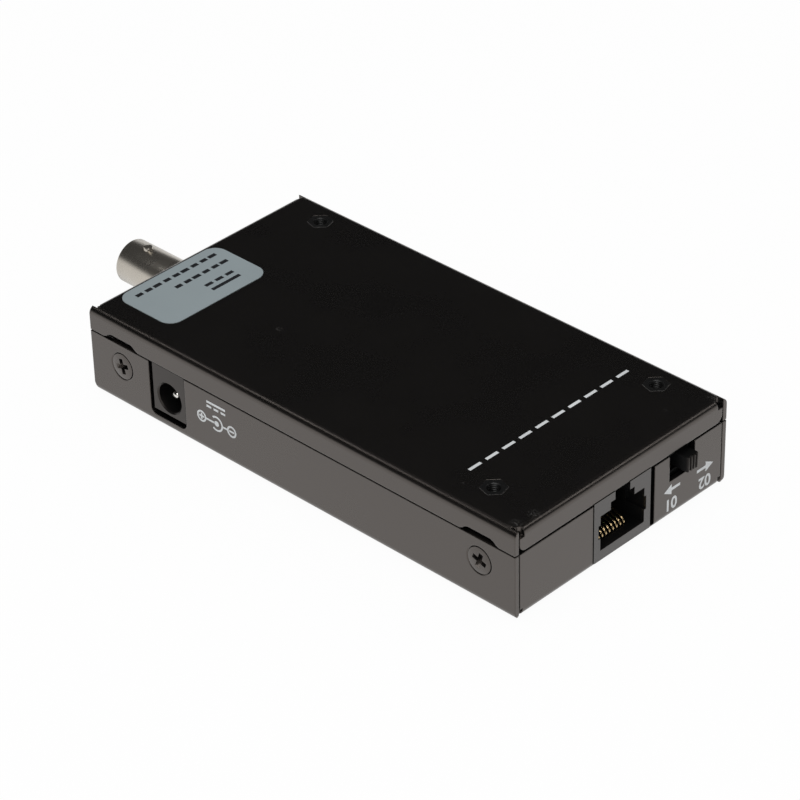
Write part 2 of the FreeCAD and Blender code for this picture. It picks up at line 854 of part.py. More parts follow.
# Network socket housing: stepped opening, latch way, floor grooves for the contacts and two board pegs
net = new_body("NetJack")
front = sketch_on(net, "NetJack_front", "YZ_Plane", away=netFront)
rectangle(front, (netSides[0], netSides[1]), (netUnder, boardFace))
pad(net, "NetJack_block", front, s.netDepth, back=True)
edges = edges_along(net, "x", y=netSides, z=[netUnder])
soften(net, "NetJack_rounded", edges, s.netRound)
lip = sketch_on(net, "NetJack_lip", "YZ_Plane", away=netFront)
rectangle(lip, (netSides[0], netSides[1]), (boardFace - s.netRound - 0.2, endFlangeEdge - s.netLipGap))
pad(net, "NetJack_lip_pad", lip, netFront - boardEnd - s.netLipGap, back=True)
plug = sketch_on(net, "NetJack_plug", "YZ_Plane", away=netFront)
rectangle(
    plug,
    (netCentre - s.plugWidth / 2, netCentre + s.plugWidth / 2),
    (netFloor, netRoof),
)
pocket(net, "NetJack_plug_cut", plug, s.plugDepth)
latch = sketch_on(net, "NetJack_latch", "YZ_Plane", away=netFront)
rectangle(
    latch,
    (netCentre - s.latchWidth / 2, netCentre + s.latchWidth / 2),
    (netRoof - 0.5, latchRoof),
)
pocket(net, "NetJack_latch_cut", latch, s.latchDepth)
key = sketch_on(net, "NetJack_key", "YZ_Plane", away=netFront)
rectangle(
    key,
    (netCentre - s.keyWidth / 2, netCentre + s.keyWidth / 2),
    (latchRoof - 0.5, boardFace + 1),
)
pocket(net, "NetJack_key_cut", key, s.keyDepth)
groove = sketch_on(net, "NetJack_side_grooves", "YZ_Plane", away=netFront)
grooveLow = netFloor + s.sideGrooveUp
rectangle(
    groove,
    (
        netCentre - s.plugWidth / 2 - s.sideGrooveDeep,
        netCentre + s.plugWidth / 2 + s.sideGrooveDeep,
    ),
    (grooveLow, grooveLow + s.sideGrooveHigh),
)
pocket(net, "NetJack_side_groove_cut", groove, s.plugDepth / 3)
grooveZ = netFloor - s.contactGrooveDeep
firstAcross = netCentre - 3.5 * s.contactPitch
bendX = netFront - s.contactSet
lane = sketch_on(
    net, "NetJack_lane", "XZ_Plane", away=-(firstAcross - s.contactGroove / 2)
)
tailWay = netBack + 2 * s.contactTailIn + s.contactThick
outline(lane, [
    (netBack - 1, grooveZ),
    (bendX + s.contactNose + 0.4, grooveZ),
    (bendX + s.contactNose + 0.4, netFloor + 0.1),
    (tailWay, netFloor + 0.1),
    (tailWay, boardFace + 1),
    (netBack - 1, boardFace + 1),
])
laneCut = pocket(net, "NetJack_lane_cut", lane, s.contactGroove)
row_of(net, "NetJack_lanes", [laneCut], "Y_Axis", s.contactPitch, 8)
pegs = sketch_on(net, "NetJack_pegs", "XY_Plane", away=boardFace)
for side in (-1, 1):
    pegY = netCentre + side * s.pegSpan / 2
    pegHalf = s.pegWidth / 2
    rectangle(pegs, (pegX - pegHalf, pegX + pegHalf), (pegY - pegHalf, pegY + pegHalf))
pad(net, "NetJack_peg_pads", pegs, s.pegLong)
keep(net, "network_jack")

# Network contacts: a tail through the board, a run along the floor groove, and a sprung arm back inside
lie = grooveZ + s.contactLie
thick = s.contactThick
tip = (netFront - s.contactTipBack, netFloor + s.contactTipUp)
for i in range(8):
    contact = new_body("Contact%d" % (i + 1))
    across = netCentre + (i - 3.5) * s.contactPitch
    path = sketch_on(contact, "Contact%d_path" % (i + 1), "XZ_Plane", away=-across)
    outline(path, [
        (tailX, boardBack + s.contactPin),
        (tailX, lie),
        (bendX, lie),
        (bendX + s.contactNose, lie + s.contactNose),
        (bendX, lie + 2 * s.contactNose),
        (tip[0], tip[1] + thick),
        (tip[0], tip[1]),
        (bendX - thick / 2, lie + 2 * s.contactNose - thick * 1.2),
        (bendX + s.contactNose - thick * 1.4, lie + s.contactNose),
        (bendX - thick / 2, lie + thick),
        (tailX + thick, lie + thick),
        (tailX + thick, boardBack + s.contactPin),
    ])
    pad(contact, "Contact%d_strip" % (i + 1), path, s.contactWidth, both=True)
    keep(contact, "network_contact_%d" % (i + 1))

# Power socket: square collar level with the wall, round barrel behind it, on a foot up to the board
powerFront = -halfWidth
collarBack = powerFront + s.powerCollar
powerBack = powerFront + s.powerDepth
collar = box("PowerCollar", powerSides, (powerFront, collarBack), (powerUnder, boardFace))
barrelSides = (powerX - s.powerBarrel / 2, powerX + s.powerBarrel / 2)
foot = box("PowerFoot", barrelSides, (collarBack, powerBack), (powerZ, boardFace))
barrel = rod(
    "PowerBarrel", "y", s.powerBarrel, (powerX, collarBack, powerZ), s.powerDepth - s.powerCollar
)
bore = rod("PowerBore", "y", s.powerBore, (powerX, powerFront, powerZ), s.powerBoreDeep)
lip = doc.addObject("Part::Cone", "PowerLip")
lip.Placement = FreeCAD.Placement(Vector(), TURNS["y"])
bind(lip, "Radius1", s.powerBore / 2 + s.powerLip)
bind(lip, "Radius2", s.powerBore / 2)
bind(lip, "Height", s.powerLip)
place(lip, powerX, powerFront, powerZ)
pinWay = rod("PowerPinWay", "y", s.powerPin, (powerX, powerFront, powerZ), s.powerDepth)
half = s.powerSpringWide / 2
springZ = (powerZ - s.powerBarrel / 2 - 1, powerZ - s.powerBore / 2 + 0.8)
springWay = box(
    "PowerSpringWay",
    (powerX - half, powerX + half),
    (powerBack - s.powerSpringLong, powerBack + 0.01),
    springZ,
)
powerHollow = fuse("PowerHollow", [bore, lip, pinWay, springWay])
powerSolid = fuse("PowerSolid", [collar, foot, barrel])
keep(cut("PowerJack", powerSolid, powerHollow), "power_jack")

# Centre pin with a solder tab up to the board
pinFront = powerFront + s.powerPinRecess
pin = new_body("PowerPin")
profile = sketch_on(pin, "PowerPin_profile", "XY_Plane", away=powerZ, right=powerX)
tailBack = powerBack + s.powerTabThick
pinHalf = s.powerPin / 2
outline(profile, [
    (0.0, pinFront),
    (pinHalf, pinFront),
    (pinHalf, tailBack),
    (0.0, tailBack),
])
turned(pin, "PowerPin_turned", profile)
tab = sketch_on(pin, "PowerPin_tab", "XZ_Plane", away=-powerBack)
rectangle(
    tab,
    (powerX - s.powerTabWide / 2, powerX + s.powerTabWide / 2),
    (powerZ, boardFace),
)
pad(pin, "PowerPin_tab_pad", tab, s.powerTabThick, back=True)
keep(pin, "power_pin")

# Sprung leaf under the bore, which touches the plug's sleeve
leafBack = powerBack
leaf = new_body("PowerSpring")
profile = sketch_on(leaf, "PowerSpring_profile", "YZ_Plane", away=powerX)
leafZ = powerZ - s.powerBarrel / 2
leafThick = s.powerTabThick * 0.75
outline(profile, [
    (leafBack - s.powerSpringLong + 0.5, leafZ + 0.9),
    (leafBack, leafZ),
    (leafBack, leafZ + leafThick),
    (leafBack - s.powerSpringLong + 1.0, leafZ + 0.9 + leafThick),
    (leafBack - s.powerSpringLong + 0.5, leafZ + 0.9 + leafThick),
])
pad(leaf, "PowerSpring_strip", profile, s.powerSpringWide * 0.8, both=True)
keep(leaf, "power_spring")

# Slide switch: folded frame with a window, moulded base behind it, and the slider that carries the knob
frameFront = endInside - s.switchSetBack
frameBack = frameFront - s.switchDepth
frameZ = (knobZ - s.knobDrop + s.switchWall, boardFace)
frameY = (switchCentre - s.switchWidth / 2, switchCentre + s.switchWidth / 2)
knobSpan = s.knobWidth / 2 + s.switchTravel / 2 + s.sliderClear
shell = box("SwitchShell", (frameBack, frameFront), frameY, frameZ)
room = box(
    "SwitchRoom",
    (frameBack - 1, frameFront - s.switchWall),
    (frameY[0] + s.switchWall, frameY[1] - s.switchWall),
    (frameZ[0] + s.switchWall, frameZ[1] - s.switchWall),
)
window = box(
    "SwitchWindow",
    (frameFront - 2 * s.switchWall, frameFront + 1),
    (switchCentre - knobSpan, switchCentre + knobSpan),
    (knobZ - s.knobHigh / 2 - s.sliderClear, knobZ + s.knobHigh / 2 + s.sliderClear),
)
keep(cut("SwitchFrame", shell, fuse("SwitchOpen", [room, window])), "switch_frame")
base = box(
    "SwitchBase",
    (frameBack, frameBack + s.switchBase),
    (frameY[0] + s.switchWall, frameY[1] - s.switchWall),
    (frameZ[0] + s.switchWall, frameZ[1] - s.switchWall),
)
keep(base, "switch_base")
knobY = switchCentre + s.switchTravel / 2
carriage = box(
    "SliderBlock",
    (frameBack + s.switchBase + s.sliderClear, frameFront - s.switchWall - s.sliderClear),
    (knobY - s.sliderWidth / 2, knobY + s.sliderWidth / 2),
    (frameZ[0] + s.switchWall + s.sliderClear, frameZ[1] - s.switchWall - s.sliderClear),
)
knobEnd = halfLength + s.knobProud
knob = box(
    "SliderKnob",
    (frameFront - s.switchWall - s.sliderClear - 0.5, knobEnd),
    (knobY - s.knobWidth / 2, knobY + s.knobWidth / 2),
    (knobZ - s.knobHigh / 2, knobZ + s.knobHigh / 2),
)
grips = []
for side in (-1, 1):
    middle = knobY + side * s.knobWidth / 6
    grips.append(box(
        "KnobGrip%d" % (side + 2),
        (knobEnd - s.knobRib, knobEnd + 1),
        (middle - s.knobRib / 2, middle + s.knobRib / 2),
        (knobZ - s.knobHigh, knobZ + s.knobHigh),
    ))
slider = cut("Slider", fuse("SliderSolid", [carriage, knob]), fuse("KnobGrips", grips))
keep(slider, "switch_slider")

# Coaxial socket shell: barrel with two bayonet lugs, through the wall and on into its block
shellBody = new_body("CoaxShell")
profile = sketch_on(shellBody, "CoaxShell_profile", "XZ_Plane", up=coaxZ)
stemEnd = s.stemLong - endInside
insulatorHole = s.insulatorWidth / 2 + s.coaxFit
outline(profile, [
    (coaxTip, barrelBore / 2),
    (coaxTip, s.barrelWidth / 2),
    (stemEnd, s.barrelWidth / 2),
    (stemEnd, insulatorHole),
    (coaxTip + s.barrelBoreDeep, insulatorHole),
    (coaxTip + s.barrelBoreDeep, barrelBore / 2),
])
turned(shellBody, "CoaxShell_turned", profile, "H_Axis")
studs = sketch_on(
    shellBody, "CoaxShell_studs", "XY_Plane",
    away=coaxZ + s.barrelWidth / 2 - s.bayonetSunk,
)
circle(studs, coaxTip + s.bayonetBack, 0.0, s.bayonetWidth)
pad(
    shellBody, "CoaxShell_stud", studs,
    s.bayonetSpan / 2 - s.barrelWidth / 2 + s.bayonetSunk,
)
studsUnder = sketch_on(
    shellBody, "CoaxShell_studs_under", "XY_Plane",
    away=coaxZ - s.barrelWidth / 2 + s.bayonetSunk,
)
circle(studsUnder, coaxTip + s.bayonetBack, 0.0, s.bayonetWidth)
pad(
    shellBody, "CoaxShell_stud_under", studsUnder,
    s.bayonetSpan / 2 - s.barrelWidth / 2 + s.bayonetSunk, back=True,
)
keep(shellBody, "coax_shell")

# Insulator and centre contact on the socket's axis
insulator = new_body("CoaxInsulator")
profile = sketch_on(insulator, "CoaxInsulator_profile", "XZ_Plane", up=coaxZ)
coreHole = s.coreWidth / 2 + s.coaxFit
insulatorTip = coaxTip + s.insulatorRecess
outline(profile, [
    (insulatorTip, coreHole),
    (insulatorTip, s.insulatorWidth / 2),
    (stemEnd, s.insulatorWidth / 2),
    (stemEnd, coreHole),
])
turned(insulator, "CoaxInsulator_turned", profile, "H_Axis")
keep(insulator, "coax_insulator")

coreBody = new_body("CoaxCore")
profile = sketch_on(coreBody, "CoaxCore_profile", "XZ_Plane", up=coaxZ)
blockBack = s.blockDepth - endInside
coreEnd = (stemEnd + blockBack) / 2 + s.coreTail
outline(profile, [
    (insulatorTip, s.coreBore / 2),
    (insulatorTip, s.coreWidth / 2),
    (coreEnd, s.coreWidth / 2),
    (coreEnd, 0.0),
    (insulatorTip + s.coreBoreDeep, 0.0),
    (insulatorTip + s.coreBoreDeep, s.coreBore / 2),
])
turned(coreBody, "CoaxCore_turned", profile, "H_Axis")
tail = sketch_on(coreBody, "CoaxCore_tail", "XY_Plane", away=coaxZ)
rectangle(tail, (coreEnd - 1.5 * s.coreTail, coreEnd - s.coreTail / 2), (-s.coreTail / 2, s.coreTail / 2))
pad(coreBody, "CoaxCore_tail_pad", tail, boardFace - coaxZ)
keep(coreBody, "coax_contact")

# Moulded block that holds the shell and hangs from the board
block = new_body("CoaxBlock")
profile = sketch_on(block, "CoaxBlock_front", "YZ_Plane", away=-endInside)
rectangle(
    profile,
    (-s.blockWidth / 2, s.blockWidth / 2),
    (coaxZ - s.blockUnder, boardFace),
)
pad(block, "CoaxBlock_pad", profile, s.blockDepth)
edges = edges_along(
    block, "x", y=[-s.blockWidth / 2, s.blockWidth / 2], z=[coaxZ - s.blockUnder]
)
soften(block, "CoaxBlock_rounded", edges, s.blockRound)
hole = sketch_on(block, "CoaxBlock_hole", "YZ_Plane", away=-endInside)
circle(hole, 0.0, coaxZ, s.barrelWidth + 2 * s.coaxFit)
pocket(block, "CoaxBlock_bore", hole, s.stemLong + s.coaxFit, back=True)
way = sketch_on(block, "CoaxBlock_way", "YZ_Plane", away=blockBack)
rectangle(
    way,
    (-s.coreTailWay / 2, s.coreTailWay / 2),
    (coaxZ - s.coreTailWay / 2, boardFace + 1),
)
pocket(block, "CoaxBlock_tail_way", way, s.blockDepth - s.stemLong + 0.1)
keep(block, "coax_block")

# Thin hexagon nut that clamps the shell to the end wall
nut = new_body("CoaxNut")
profile = sketch_on(nut, "CoaxNut_hexagon", "YZ_Plane", away=-halfLength, up=coaxZ)
hexagon(profile, 0.0, 0.0, s.barrelWidth + 2 * s.nutRing, 0)
pad(nut, "CoaxNut_pad", profile, s.nutThick, back=True)
hole = sketch_on(nut, "CoaxNut_hole", "YZ_Plane", away=-halfLength, up=coaxZ)
circle(hole, 0.0, 0.0, s.barrelWidth + 2 * s.coaxFit)
pocket(nut, "CoaxNut_thread", hole, both=True)
keep(nut, "coax_nut")

# Label on the base plate, near the coaxial end
label = new_body("Label")
profile = sketch_on(label, "Label_outline", "XY_Plane", away=caseHeight)
labelX = (s.labelEndGap - halfLength, s.labelEndGap + s.labelWide - halfLength)
labelY = (s.labelSideGap - halfWidth, s.labelSideGap + s.labelLong - halfWidth)
rectangle(profile, labelX, labelY)
pad(label, "Label_pad", profile, s.labelThick)
soften(label, "Label_corners", edges_along(label, "z", x=labelX, y=labelY), s.labelRound)
keep(label, "product_label")

# Indicator lamps: clear lenses just inside the cover plate, in one moulded holder under the board
lampTop = s.lampRecess + s.lampLong
for i, place_in_row in enumerate((-1, 0, 1), 1):
    lamp = new_body("Lamp%d" % i)
    profile = sketch_on(lamp, "Lamp%d_profile" % i, "XZ_Plane")
    radius = s.lampWidth / 2
    outline(profile, [
        (0.0, s.lampRecess),
        (radius, s.lampRecess),
        (radius, lampTop),
        (0.0, lampTop),
    ])
    turned(lamp, "Lamp%d_turned" % i, profile)
    place(lamp, lampX, place_in_row * s.lampPitch, 0.0)
    keep(lamp, "indicator_lamp_%d" % i)
holder = box(
    "LampHolder",
    (lampX - s.lampHolder / 2, lampX + s.lampHolder / 2),
    (-s.lampPitch - s.lampHolder / 2, s.lampPitch + s.lampHolder / 2),
    (lampTop, boardFace),
)
keep(holder, "lamp_holder")


def leaded_chip(name, label, length, width, x, y, per_side):
    """A moulded package just off the board, with flat leads that reach the board on two sides."""
    z = (boardFace - s.chipLift - s.chipHigh, boardFace - s.chipLift)
    solids = [box(name + "Package", (x - length / 2, x + length / 2), (y - width / 2, y + width / 2), z)]
    leadZ = (boardFace - s.chipLift - s.chipLeadThick, boardFace)
    for i in range(per_side):
        along = (i - (per_side - 1) / 2.0) * s.chipLeadPitch
        lead = box(
            name + "LeadY%d" % i,
            (x + along - s.chipLeadWide / 2, x + along + s.chipLeadWide / 2),
            (y - width / 2 - s.chipLead, y + width / 2 + s.chipLead),
            leadZ,
        )
        solids.append(lead)
    keep(fuse(name, solids), label)


leaded_chip(
    "NetChip", "network_chip", s.netChip, s.netChip,
    halfLength - s.netChipFromEnd, -s.netChipSide, 6,
)
leaded_chip(
    "LineChip", "line_chip", s.lineChip, s.lineChip,
    s.lineChipFromEnd - halfLength, s.lineChipSide, 8,
)
leaded_chip(
    "RegulatorChip", "regulator_chip", s.regulatorLong, s.regulatorWide,
    s.regulatorFromEnd - halfLength, halfWidth - s.regulatorInset, 4,
)
moduleX = halfLength - s.moduleFromEnd
module = box(
    "Module",
    (moduleX - s.moduleWide / 2, moduleX + s.moduleWide / 2),
    (netCentre - s.moduleLong / 2, netCentre + s.moduleLong / 2),
    (boardFace - s.moduleHigh, boardFace),
)
keep(module, "isolation_module")

# Power coil: a square shielded block with cut corners
coil = new_body("Coil")
profile = sketch_on(coil, "Coil_profile", "XY_Plane", away=boardFace - s.coilHigh)
coilX = s.coilFromEnd - halfLength
coilY = s.coilInset - halfWidth
side = s.coilWidth / 2
bevel = side - s.coilBevel
outline(profile, [
    (coilX - bevel, coilY - side),
    (coilX + bevel, coilY - side),
    (coilX + side, coilY - bevel),
    (coilX + side, coilY + bevel),
    (coilX + bevel, coilY + side),
    (coilX - bevel, coilY + side),
    (coilX - side, coilY + bevel),
    (coilX - side, coilY - bevel),
])
pad(coil, "Coil_pad", profile, s.coilHigh)
keep(coil, "power_coil")

# Crystal in its flat can
crystalX = halfLength - s.crystalFromEnd
crystalY = halfWidth - s.crystalInset
can = box(
    "Crystal",
    (crystalX - s.crystalLong / 2, crystalX + s.crystalLong / 2),
    (crystalY - s.crystalWide / 2, crystalY + s.crystalWide / 2),
    (boardFace - s.crystalHigh, boardFace),
)
keep(can, "crystal")

# Electrolytic capacitors
for i, side in enumerate((-1, 1), 1):
    can = new_body("Capacitor%d" % i)
    profile = sketch_on(can, "Capacitor%d_profile" % i, "XZ_Plane")
    outline(profile, [
        (0.0, 0.0),
        (s.canWidth / 2, 0.0),
        (s.canWidth / 2, s.canHigh),
        (0.0, s.canHigh),
    ])
    turned(can, "Capacitor%d_turned" % i, profile)
    canX = s.canFromEnd - halfLength + side * s.canPitch / 2
    place(can, canX, s.canInset - halfWidth, boardFace - s.canHigh)
    keep(can, "capacitor_%d" % i)

doc.recompute()
faults = []
for thing in doc.Objects:
    if "Invalid" in thing.State or "Error" in thing.State:
        faults.append("%s did not build: %s" % (thing.Name, thing.State))
for piece in pieces:
    shape = piece.Shape
    if shape.isNull() or not shape.isValid() or len(shape.Solids) != 1:
        faults.append("%s is not one valid solid" % piece.Label)
if faults:
    raise RuntimeError("; ".join(faults))
os.makedirs("parts", exist_ok=True)
for piece in pieces:
    piece.Shape.exportStep(os.path.join("parts", piece.Label + ".step"))
print("pieces", len(pieces))
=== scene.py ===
import math

import bmesh
import bpy
from mathutils import Matrix, Vector


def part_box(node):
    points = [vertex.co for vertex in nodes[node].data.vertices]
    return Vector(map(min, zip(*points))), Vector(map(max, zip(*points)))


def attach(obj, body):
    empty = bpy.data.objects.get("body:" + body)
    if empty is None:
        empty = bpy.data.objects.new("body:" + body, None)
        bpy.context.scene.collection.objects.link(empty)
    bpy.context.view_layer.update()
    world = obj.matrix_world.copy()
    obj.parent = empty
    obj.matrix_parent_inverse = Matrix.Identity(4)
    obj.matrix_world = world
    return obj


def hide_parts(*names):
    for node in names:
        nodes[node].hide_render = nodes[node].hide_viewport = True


# Ethernet to bnc media converter: the looks of the folded steel box, its sockets, switch, label and marks.
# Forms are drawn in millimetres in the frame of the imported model, and each is brought to metres at the end.
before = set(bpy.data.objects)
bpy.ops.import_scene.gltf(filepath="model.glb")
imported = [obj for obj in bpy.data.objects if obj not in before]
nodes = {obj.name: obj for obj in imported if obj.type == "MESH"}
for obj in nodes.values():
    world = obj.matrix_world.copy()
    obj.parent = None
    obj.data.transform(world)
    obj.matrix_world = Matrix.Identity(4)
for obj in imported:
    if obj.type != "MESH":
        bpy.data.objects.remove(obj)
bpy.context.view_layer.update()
MM = 0.001


# Studio: a white floor under the box, four soft lamps, and a room whose reflection is white low down and
# dark above. The floor shows white to the camera and in reflections, and still takes the box's shadow.
FLOOR_HALF = 2.0
FLOOR_DROP = 0.00005
FLOOR_GLOW = 0.95
FLOOR_COLOUR = (0.9, 0.9, 0.9, 1.0)
ROOM_COLOUR = (0.012, 0.012, 0.012, 1.0)
ROOM_FILL = (0.42, 0.42, 0.42, 1.0)
WHITE = (1.0, 1.0, 1.0, 1.0)
ROOM_EDGE = (0.02, 0.2)


def add_node(tree, kind, sockets=None, **settings):
    """One shader node: settings are its own options, sockets take plain values or other nodes' outputs."""
    made = tree.nodes.new(kind)
    for name, value in settings.items():
        setattr(made, name, value)
    for name, value in (sockets or {}).items():
        if isinstance(value, bpy.types.NodeSocket):
            tree.links.new(value, made.inputs[name])
        else:
            made.inputs[name].default_value = value
    return made


def seen_directly(tree):
    """1 for rays from the camera, from glossy surfaces and through clear ones, otherwise 0."""
    path = add_node(tree, "ShaderNodeLightPath")
    first = add_node(
        tree, "ShaderNodeMath",
        {0: path.outputs["Is Camera Ray"], 1: path.outputs["Is Glossy Ray"]}, operation="MAXIMUM",
    )
    both = add_node(
        tree, "ShaderNodeMath",
        {0: first.outputs[0], 1: path.outputs["Is Transmission Ray"]}, operation="MAXIMUM",
    )
    return both.outputs[0]


def empty_material(name):
    material = bpy.data.materials.new(name)
    material.use_nodes = True
    material.node_tree.nodes.clear()
    return material


floor_material = empty_material("studio_floor")
tree = floor_material.node_tree
lit = add_node(tree, "ShaderNodeBsdfDiffuse", {"Color": FLOOR_COLOUR})
glow = add_node(tree, "ShaderNodeEmission", {"Color": WHITE, "Strength": 1.0})
share = add_node(
    tree, "ShaderNodeMath", {0: seen_directly(tree), 1: FLOOR_GLOW}, operation="MULTIPLY"
)
mixed = add_node(
    tree, "ShaderNodeMixShader", {0: share.outputs[0], 1: lit.outputs[0], 2: glow.outputs[0]}
)
add_node(tree, "ShaderNodeOutputMaterial", {"Surface": mixed.outputs[0]})
floor_mesh = bpy.data.meshes.new("studio_floor")
floor_mesh.from_pydata(
    [(x * FLOOR_HALF, y * FLOOR_HALF, -FLOOR_DROP) for x, y in ((-1, -1), (1, -1), (1, 1), (-1, 1))],
    [],
    [(0, 1, 2, 3)],
)
floor_mesh.materials.append(floor_material)
floor = bpy.data.objects.new("studio_floor", floor_mesh)
bpy.context.scene.collection.objects.link(floor)

room = bpy.data.worlds.new("studio_room")
bpy.context.scene.world = room
room.use_nodes = True
tree = room.node_tree
tree.nodes.clear()
toward = add_node(tree, "ShaderNodeTexCoord")
height = add_node(tree, "ShaderNodeSeparateXYZ", {0: toward.outputs["Generated"]})
above = add_node(
    tree, "ShaderNodeMapRange",
    {0: height.outputs["Z"], 1: ROOM_EDGE[0], 2: ROOM_EDGE[1], 3: 0.0, 4: 1.0},
)
wall = add_node(
    tree, "ShaderNodeMix", {0: above.outputs[0], 6: WHITE, 7: ROOM_COLOUR}, data_type="RGBA"
)
mirrored = add_node(
    tree, "ShaderNodeMix", {0: seen_directly(tree), 6: ROOM_FILL, 7: wall.outputs[2]}, data_type="RGBA"
)
path = add_node(tree, "ShaderNodeLightPath")
shown = add_node(
    tree, "ShaderNodeMix", {0: path.outputs["Is Camera Ray"], 6: mirrored.outputs[2], 7: WHITE},
    data_type="RGBA",
)
behind = add_node(tree, "ShaderNodeBackground", {"Color": shown.outputs[2], "Strength": 1.0})
add_node(tree, "ShaderNodeOutputWorld", {"Surface": behind.outputs[0]})


def soft_lamp(name, place, size, watts):
    """A square soft lamp, in metres, that faces the middle of the box."""
    light = bpy.data.lights.new(name, "AREA")
    light.shape = "SQUARE"
    light.size = size
    light.energy = watts
    lamp = bpy.data.objects.new(name, light)
    lamp.location = place
    lamp.rotation_euler = (-Vector(place)).to_track_quat("-Z", "Y").to_euler()
    bpy.context.scene.collection.objects.link(lamp)


# Name, place and side in metres, and power in watts
LAMPS = (
    ("lamp_above", (0.05, -0.1, 1.1), 0.7, 4.6),
    ("lamp_by_camera", (0.5, -0.62, 0.62), 0.5, 2.6),
    ("lamp_far_right", (0.56, 0.6, 0.6), 0.2, 0.3),
    ("lamp_far_left", (-0.62, -0.3, 0.8), 0.16, 0.2),
)
for lamp_row in LAMPS:
    soft_lamp(*lamp_row)

# Camera: fitted to the case's corners in the photo, which is 800 pixels on each side
CAMERA_TARGET = Vector((4.458, -5.054, 12.621)) * MM
CAMERA_AWAY = 672.2 * MM
CAMERA_AZIMUTH = math.radians(44.559)
CAMERA_ELEVATION = math.radians(33.854)
CAMERA_ROLL = math.radians(-1.418)
PHOTO_SIDE = 800
FOCAL_IN_PIXELS = 3490.3
camera_data = bpy.data.cameras.new("photo_camera")
camera_data.sensor_width = 36.0
camera_data.lens = FOCAL_IN_PIXELS * camera_data.sensor_width / PHOTO_SIDE
camera = bpy.data.objects.new("photo_camera", camera_data)
level = math.cos(CAMERA_ELEVATION)
back = Vector((
    math.sin(CAMERA_AZIMUTH) * level, -math.cos(CAMERA_AZIMUTH) * level, math.sin(CAMERA_ELEVATION)
))
right = Vector((math.cos(CAMERA_AZIMUTH), math.sin(CAMERA_AZIMUTH), 0.0))
up = back.cross(right)
turn = (math.cos(CAMERA_ROLL), math.sin(CAMERA_ROLL))
stance = Matrix((right * turn[0] + up * turn[1], up * turn[0] - right * turn[1], back)).transposed()
camera.matrix_world = Matrix.Translation(CAMERA_TARGET + back * CAMERA_AWAY) @ stance.to_4x4()
bpy.context.scene.collection.objects.link(camera)
bpy.context.scene.camera = camera
bpy.context.scene.view_settings.view_transform = "Standard"


# Cover: folded steel sheet under the board, cut for the sockets, the switch, the lamps and the screws.
# Both sheets are powder painted satin black: a fine orange peel, slightly uneven in sheen.
PAINT_COLOUR = (0.0026, 0.0026, 0.0027, 1.0)
PAINT_GLOSS = 1.86
# Grey of rubbed bare steel, also used for a painted highlight at the tray's near corner
WORN_AND_HIGHLIGHT_GREY = (0.09, 0.088, 0.085, 1.0)
PAINT_ROUGHNESS = 0.28
PAINT_GRAIN = 2600.0
PAINT_PEEL = 0.0015
PAINT_DRIFT = 0.05
SHEET_EDGE = 0.3
WARM_SHEEN = (1.0, 0.88, 0.8, 1.0)


def new_group(name, takes, gives):
    """A shader group with named sockets, and its input and output nodes."""
    group = bpy.data.node_groups.new(name, "ShaderNodeTree")
    for side, sockets in (("INPUT", takes), ("OUTPUT", gives)):
        for label, kind in sockets.items():
            group.interface.new_socket(label, in_out=side, socket_type="NodeSocket" + kind)
    return group, add_node(group, "NodeGroupInput"), add_node(group, "NodeGroupOutput")


def link(tree, output, node, name):
    tree.links.new(output, node.inputs[name])


# Shared effect: a fine grained skin, with a broad drift of tone and sheen
grained_skin, given, result = new_group(
    "grained_skin",
    {"Colour": "Color", "Roughness": "Float", "Grain": "Float", "Stretch": "Vector", "Drift": "Float"},
    {"Colour": "Color", "Roughness": "Float", "Height": "Float"},
)
place = add_node(grained_skin, "ShaderNodeTexCoord").outputs["Object"]
drawn = add_node(
    grained_skin, "ShaderNodeVectorMath", {0: place, 1: given.outputs["Stretch"]}, operation="MULTIPLY"
)
fine = add_node(
    grained_skin, "ShaderNodeTexNoise",
    {"Vector": drawn.outputs[0], "Scale": given.outputs["Grain"], "Detail": 3.0, "Roughness": 0.6},
)
broad = add_node(grained_skin, "ShaderNodeTexNoise", {"Vector": place, "Scale": 55.0, "Detail": 4.0})
centred = add_node(
    grained_skin, "ShaderNodeMapRange", {0: broad.outputs[0], 1: 0.3, 2: 0.7, 3: -1.0, 4: 1.0}
)
drift = add_node(
    grained_skin, "ShaderNodeMath", {0: centred.outputs[0], 1: given.outputs["Drift"]},
    operation="MULTIPLY",
)
gain = add_node(grained_skin, "ShaderNodeMath", {0: drift.outputs[0], 1: 1.0}, operation="ADD")
tone = add_node(
    grained_skin, "ShaderNodeVectorMath", {0: given.outputs["Colour"], "Scale": gain.outputs[0]},
    operation="SCALE",
)
fine_part = add_node(
    grained_skin, "ShaderNodeMapRange", {0: fine.outputs[0], 1: 0.2, 2: 0.8, 3: 0.97, 4: 1.03}
)
dulled = add_node(
    grained_skin, "ShaderNodeMath", {0: given.outputs["Roughness"], 1: fine_part.outputs[0]},
    operation="MULTIPLY",
)
sheen = add_node(
    grained_skin, "ShaderNodeMath", {0: dulled.outputs[0], 1: gain.outputs[0]}, operation="MULTIPLY"
)
link(grained_skin, tone.outputs[0], result, "Colour")
link(grained_skin, sheen.outputs[0], result, "Roughness")
link(grained_skin, fine.outputs[0], result, "Height")
